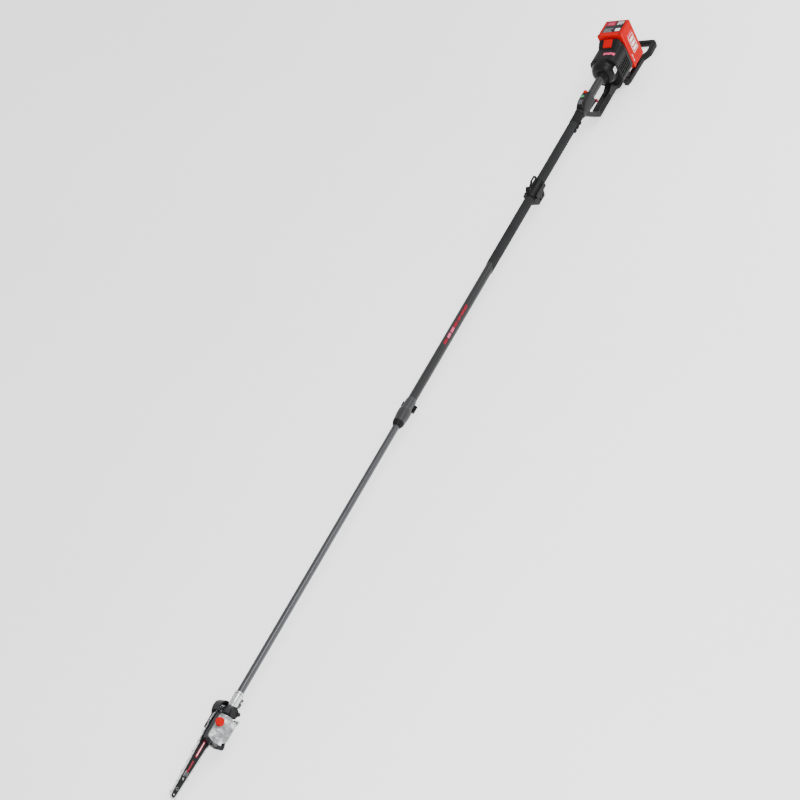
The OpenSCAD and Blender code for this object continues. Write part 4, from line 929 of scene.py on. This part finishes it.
def link_outline(kind):
    """Outline of one chain piece, (along, outward) in millimetres, with its rivets at plus and minus 4.76."""
    if kind == "strap":
        return rounded([(-8.1, -3.1), (8.1, -3.1), (8.1, 3.0), (-8.1, 3.0)], 3.0, 5)
    if kind == "drive":
        return rounded([(-8.0, 2.7, 2.6), (8.0, 2.7, 2.6), (8.0, -2.6, 2.4), (4.2, -3.0, 1), (1.6, -5.7, 0.8),
                        (-1.6, -5.7, 0.8), (-4.4, -3.0, 1), (-8.0, -2.6, 2.4)], 1, 4)
    return rounded([(-8.1, -3.1, 3), (8.1, -3.1, 3), (8.1, 3.2, 2.2), (6.8, 5.4, 1.4), (4.0, 5.3, 1.2), (2.6, 1.8, 1.2),
                    (0.9, 1.6, 1.0), (-0.4, 6.0, 0.4), (-7.2, 5.2, 0.6), (-8.4, 2.0, 1.5)], 1, 4)


CUTTER_SPACING = 38.1
WHEEL_R, ROOT_R, NOSE_R = 18.2, 28.5, 13.7


def belt_line():
    """Closed line of the chain's rivets as (x, z) points, rear end first, over the top to the nose."""
    wheel_x = (span("drive_sprocket")[0][0] + span("drive_sprocket")[1][0]) / 2
    tip = span("saw_chain")[1][0]
    circles = [(wheel_x, WHEEL_R), (wheel_x + 45, ROOT_R), (tip - NOSE_R - 3, NOSE_R)]
    leans = [asin((b[1] - a[1]) / (b[0] - a[0])) for a, b in zip(circles, circles[1:])]
    top = []
    for i, (x, r) in enumerate(circles):
        start = -pi / 2 if i == 0 else -leans[i - 1]
        end = pi / 2 if i == len(circles) - 1 else -leans[i]
        for k in range(49):
            t = start + (end - start) * k / 48
            top.append(Vector((x + r * sin(t), r * cos(t))))
    return top + [Vector((p.x, -p.y)) for p in reversed(top[1:-1])]


def saw_chain():
    """Chain in single links: drive links, straps, cutters left and right by turns, and rivets."""
    line = belt_line()
    runs = [(line[(i + 1) % len(line)] - p).length for i, p in enumerate(line)]
    total = sum(runs)
    links = 2 * int(total / CUTTER_SPACING)
    step = total / links

    def spot(s):
        s %= total
        for i, run in enumerate(runs):
            if s <= run:
                return line[i].lerp(line[(i + 1) % len(line)], s / run if run else 0)
            s -= run
        return line[0]

    side_low, side_high = span("saw_chain")[0][1], span("saw_chain")[1][1]
    middle = (side_low + side_high) / 2

    def pose(s):
        a, b = spot(s - step / 4), spot(s + step / 4)
        along = (b - a).normalized()
        return (a + b) / 2, along, Vector((-along.y, along.x))

    def plate(shape, outline, s, low, high):
        centre, along, out = pose(s)
        placed = [centre + along * u + out * v for u, v in outline]
        shape.pillow(placed, middle + low, middle + high, "y", 0.18, 1)

    def upright_shape(s):
        """Frame of the link at s: along, across (left) and outward."""
        centre, along, out = pose(s)
        return Matrix((
            (along.x, 0, out.x, centre.x), (0, 1, 0, middle), (along.y, 0, out.y, centre.y), (0, 0, 0, 1)))

    rivet = shifted(middle, 0, [(-2.25, 1.0), (-1.95, 1.9), (1.95, 1.9), (2.25, 1.0)])
    drive, straps, cutters, rivets = Shape(), Shape(), Shape(), Shape()
    for k in range(links):
        s = k * step
        plate(drive, link_outline("drive"), s + step / 2, -0.62, 0.62)
        cutting = {1: 1, 3: -1}.get(k % 4, 0)
        for side in (-1, 1):
            low, high = sorted((side * 0.66, side * 1.76))
            if side != cutting:
                plate(straps, link_outline("strap"), s, low, high)
                continue
            plate(cutters, link_outline("cutter"), s, low, high)
            cutters.spin = upright_shape(s)
            inner, outer = side * -0.5, side * 3.4
            cutters.skin([
                [(-7.3, inner, 4.5), (-7.3, outer, 4.3), (-7.3, outer, 5.1), (-7.3, inner, 5.3)],
                [(-0.3, inner - side * 0.3, 5.7), (-0.3, outer + side * 0.2, 5.4), (-0.3, outer + side * 0.2, 6.25),
                 (-0.3, inner - side * 0.3, 6.5)],
            ])
            cutters.skin([
                [(-7.2, side * 1.7, 1.0), (-7.2, side * 0.7, 1.0), (-0.8, side * 0.7, 1.0), (-0.8, side * 1.7, 1.0)],
                [(-7.2, side * 3.3, 4.8), (-7.2, side * 2.3, 4.8), (-0.4, side * 2.4, 5.8), (-0.4, side * 3.5, 5.8)],
            ])
            cutters.spin = Matrix.Identity(4)
        for near in (-1, 1):
            centre = spot(s + near * step / 4)
            rivets.turned(rivet, "y", (centre.x, centre.y), 14)
    drive.piece("chain_drive_links", "chain_steel", "front_pole", angle=30, cad=["saw_chain"])
    straps.piece("chain_straps", "chain_steel", "front_pole", angle=30)
    cutters.piece("chain_cutters", "cutter_steel", "front_pole", angle=30)
    rivets.piece("chain_rivets", "bright_steel", "front_pole")


def bar_details():
    """Rivets and generic printed stripes on both sides of the guide bar."""
    (x0, y0, _), (x1, y1, _) = span("guide_bar")
    nose = span("nose_sprocket")
    nose_x = (nose[0][0] + nose[1][0]) / 2
    rivets = Shape()
    hole_x = span("saw_chain")[1][0] - 79
    for level, out in ((y1, 1), (y0, -1)):
        rows = [(level - out * 0.3, 2.6), (level + out * 0.35, 2.4), (level + out * 0.5, 1.4)]
        rivets.turned(rows, "y", (nose_x, 0), 28)
        for k in range(5):
            t = 2 * pi * (k + 0.5) / 5
            rows = [(level - out * 0.3, 1.0), (level + out * 0.3, 0.9), (level + out * 0.36, 0.5)]
            rivets.turned(rows, "y", (nose_x - 22 + 5 * cos(t), 5 * sin(t)), 16)
        rows = [(level - out * 0.3, 3.8), (level + out * 0.25, 3.7), (level + out * 0.25, 2.6),
            (level - out * 0.3, 2.5)]
        rivets.turned(rows, "y", (hole_x, 0), 28, True)
    rivets.piece("bar_rivets", "bright_steel", "front_pole")
    for level, out, tag in ((y1, 1, "left"), (y0, -1, "right")):
        base = level - 0.05 if out > 0 else level - 0.1
        marks(f"bar_stripe_grey_{tag}", "grey_print", "front_pole",
              [(hole_x - 30, hole_x - 7, 5.2, 8.4), (hole_x - 27, hole_x - 10, -0.5, 1.8),
                  (hole_x - 30, hole_x - 14, -8.2, -5.8)],
              "y", base, 0.15, 0.2)
        marks(f"bar_stripe_red_{tag}", "red_dark", "front_pole",
              [(hole_x - 72 + 9.4 * k, hole_x - 64.5 + 9.4 * k, -3.6, 3.4) for k in range(5)], "y", base, 0.15, 0.3,
              1.4)
        marks(f"bar_stripe_pink_{tag}", "pink", "front_pole", [(hole_x - 147, hole_x - 90, -2.6, 3.0)], "y", base, 0.2)
        marks(f"bar_stripe_edge_{tag}", "red_dark", "front_pole", [(hole_x - 150, hole_x - 86, -4.4, 4.8)], "y", base,
            0.12)
        marks(f"bar_stripe_white_{tag}", "white", "front_pole",
              [(hole_x - 144 + 10.6 * k, hole_x - 136 + 10.6 * k, -1.0, 1.6) for k in range(5)], "y", base, 0.25, 0.4,
              0.6)


def oil_tank():
    """Tank shell with its filler neck, and the bright cap of its rear bracket."""
    (x0, y0, z0), (x1, y1, _) = span("oil_tank")
    x0 += 16
    top = 34
    section = rounded([
        (y0, z0 + 6, 4), (y0 + 6, z0, 5), (y1 - 9, z0, 7), (y1, z0 + 8, 7), (y1, 12, 8), (y1 - 7, 22, 7),
        (y0 + 6, top + 1, 6),
        (y0, top - 2, 3),
    ], 5, 5)
    rows = [(0, 6.0), (0.6, 3.9), (2.0, 2.0), (4.0, 0.8), (7.0, 0.15), (12.0, 0.0)]
    rings = [(x0 + h, i) for h, i in rows]
    rings += [(x0 + 46, 0.0), (x0 + 47, 0.7), (x0 + 49, 0.7), (x0 + 50, 0.0)]
    rings += [(x1 - 36 + 3 * k, 0.0) for k in range(7)]
    rings += [(x1 - h, i) for h, i in reversed(rows)]
    middle_y = (y0 + y1) / 2

    def shaped(x, p):
        """Point of the section, cut back where the tank narrows to its lower front corner."""
        t = max(0.0, (x - (x1 - 36)) / 36)
        floor_z = z0 + 36 * t ** 1.6
        wide = y1 - 9 * t ** 2
        z = max(p.y, floor_z + 0.25 * (p.y - floor_z)) if p.y < floor_z else p.y
        return x, min(p.x, wide + 0.2 * (p.x - wide)) if p.x > wide else p.x, z

    shape = Shape().skin([[shaped(x, p) for p in shrunk(section, inset)] for x, inset in rings])
    shape.pillow(rounded(block(x0 - 15, x0 + 3, y0 + 4, y1 - 3), 3), z0, z0 + 7, "z", 1.6, 3)
    neck = Shape()
    neck.spin = at_neck()
    rows = [(-4, 11), (-2, 14.5), (-0.4, 14.6), (0.1, 13.6), (0.2, 12), (8.6, 12), (8.6, 9.8), (-4, 9.6)]
    neck.turned(rows, "z", (0, 0), 56, True)
    shape.piece("tank_shell", "tank", "front_pole", angle=45, cad=["oil_tank"])
    neck.piece("tank_neck", "tank", "front_pole", angle=35)
    foot = Shape()
    rows = shifted(z0, 0, [(0.1, 5.4), (0.1, 6.2), (1, 7), (7.4, 7), (8.6, 6.2), (9, 4)])
    foot.turned(rows, "z", (x0 - 8, middle_y), 32)
    foot.piece("tank_bracket_cap", "bright_alloy", "front_pole", angle=35)


def at_neck():
    """Place of the filler neck: along its own axis from the tank's shoulder."""
    (x0, _, _), (x1, y1, z1) = span("oil_cap")
    tilt = radians(30)
    reach, radius = 14.5, 15.0
    z_neck = z1 - reach * cos(tilt) - (radius - 3) * sin(tilt)
    y_neck = y1 - radius * cos(tilt) - 13 * sin(tilt)
    return Matrix.Translation(((x0 + x1) / 2, y_neck, z_neck)) @ Matrix.Rotation(-tilt, 4, "X")


def oil_cap():
    """Filler cap with a fluted rim, a dished top and a turning bar."""
    shape = Shape()
    shape.spin = at_neck()
    rings = []
    rim = [(1.2, 14.2, 0.5), (1.6, 14.9, 0.8), (11.2, 14.9, 0.8), (12.4, 14.5, 0.6), (13.0, 13.4, 0.2)]
    dish = [(13.2, 12.3, 0.0), (12.2, 11.6, 0.0), (11.9, 10.4, 0.0), (11.9, 0.6, 0.0)]
    for height, radius, depth in rim + dish:
        ring = []
        for k in range(144):
            t = 2 * pi * k / 144
            r = radius - depth * (0.5 + 0.5 * cos(18 * t))
            ring.append((r * cos(t), r * sin(t), height))
        rings.append(ring)
    shape.skin(rings)
    shape.pillow(rounded([(-11, -2.4), (11, -2.4), (11, 2.4), (-11, 2.4)], 2.2, 5), 11.0, 14.4, "z", 1.0, 3)
    shape.turned([(11, 4.6), (13.4, 4.6), (13.9, 4.0), (14.0, 2.6)], "z", (0, 0), 40)
    shape.piece("filler_cap", "red", "oil_cap", cad=["oil_cap"])


# ---- Materials and edges of the CAD nodes that stay ----
CAD_LOOKS = {node: look for look, group in {
    "pole_paint": "outer_tube",
    "sleeve": "grip_sleeve",
    "black": "harness_clamp_upper harness_clamp_lower battery_dock "
        "lock_off_lever cooling_fan gear_case_cover",
    "dark_steel": "harness_clamp_screws housing_screws limb_hook",
    "collar_dark": "collar_bush lock_lever inner_bush",
    "bright_steel": "lever_pin drive_bearings socket_bolts head_bearings bar_studs bar_nuts tension_screw",
    "copper": "stator",
    "board": "control_board",
    "black_gloss": "terminal_block trigger_switch",
    "black_soft": "trigger",
    "red": "battery_base",
    "cell": "battery_cells",
    "shaft_steel": "rotor shaft_coupling drive_sleeve oil_pump "
        "drive_shaft output_shaft drive_sprocket nose_sprocket",
    "bush": "sleeve_tip_bush shaft_bush",
    "inner_alloy": "inner_tube",
    "cast_alloy": "gear_case",
    "bar": "guide_bar",
    "hood": "sprocket_cover",
    "bronze": "input_pinion bevel_gear",
}.items() for node in group.split()}
CAD_EDGES = {
    "harness_clamp_upper": 1.2, "harness_clamp_lower": 1.6, "lock_lever": 0.6, "trigger": 1.4,
    "lock_off_lever": 0.6, "battery_base": 0.8, "battery_dock": 0.6, "gear_case": 0.8, "gear_case_cover": 0.7,
    "sprocket_cover": 1.6, "limb_hook": 1.2,
}


def dress_cad():
    for node, look in CAD_LOOKS.items():
        obj = nodes[node]
        if obj.material_slots:
            for place in obj.material_slots:
                place.material = LOOKS[look]
        else:
            obj.data.materials.append(LOOKS[look])
        if node in CAD_EDGES:
            add_bevel(obj, CAD_EDGES[node], 3, 40)


# ---- Floor, lights and camera ----
def floor():
    shape = Shape()
    low = (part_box("rear_guard")[0].z - AXIS_Z) / MM
    shape.prism(block(-9000, 13000, -11000, 11000), low - 40, low, "z")
    made = shape.placed("floor")
    n = Nodes("pale_floor")
    n.drive("Base Color", n.ramp(n.noise(0.8, 3), [(0.3, (0.86, 0.86, 0.86)), (0.7, (0.9, 0.9, 0.9))]))
    n.drive("Roughness", n.level(n.noise(5, 3), 0.7, 0.85))
    n.fix("Emission Color", (1, 1, 1, 1))
    n.fix("Emission Strength", 0.9)
    made.data.materials.append(n.material)


def lamp(name, place, target, size, power):
    data = bpy.data.lights.new(name, "AREA")
    data.shape = "RECTANGLE"
    data.size, data.size_y = size
    data.energy = power
    made = bpy.data.objects.new(name, data)
    made.location = place
    made.rotation_euler = (Vector(target) - Vector(place)).to_track_quat("-Z", "Y").to_euler()
    bpy.context.scene.collection.objects.link(made)


def lights():
    world = bpy.data.worlds.new("studio")
    world.use_nodes = True
    sky = world.node_tree.nodes["Background"]
    sky.inputs["Color"].default_value = (1, 1, 1, 1)
    sky.inputs["Strength"].default_value = 1.1
    bpy.context.scene.world = world
    lamp("key", (0.6, 2.8, 3.6), (0.2, 0, 0.1), (5.0, 1.4), 190)
    lamp("rear", (-3.2, 1.5, 2.2), (-1.6, 0, 0.1), (1.6, 1.2), 40)
    lamp("front", (3.0, 2.4, 1.8), (1.8, 0, 0.1), (1.6, 1.2), 40)


def camera():
    """Camera above the front left, rolled so that the pole runs down to the left."""
    azimuth, elevation, roll = (radians(a) for a in (136.75, 35.881, -30.545))
    back = Vector((sin(azimuth) * cos(elevation), -cos(azimuth) * cos(elevation), sin(elevation)))
    level = Vector((0, 0, 1)).cross(back).normalized()
    up = back.cross(level)
    right = level * cos(roll) + up * sin(roll)
    up = back.cross(right)
    data = bpy.data.cameras.new("camera")
    data.sensor_width = 36
    data.lens = 102.23
    data.clip_end = 100
    made = bpy.data.objects.new("camera", data)
    made.matrix_world = Matrix.Translation(at(6809.7, 4831.3, 4850.2)) @ Matrix((right, up, back)).transposed().to_4x4()
    bpy.context.scene.collection.objects.link(made)
    bpy.context.scene.camera = made


battery_prints(*battery())
housing(1, "housing_shell_left", "housing_left")
housing(-1, "housing_shell_right", "housing_right")
shoulder()
fins()
front_cover()
cover_badge()
guard()
handle()
pod()
release_button()
lock_off_knob()
pole()
lock_collar()
socket()
saw_chain()
bar_details()
oil_tank()
oil_cap()
dress_cad()
floor()
lights()
camera()
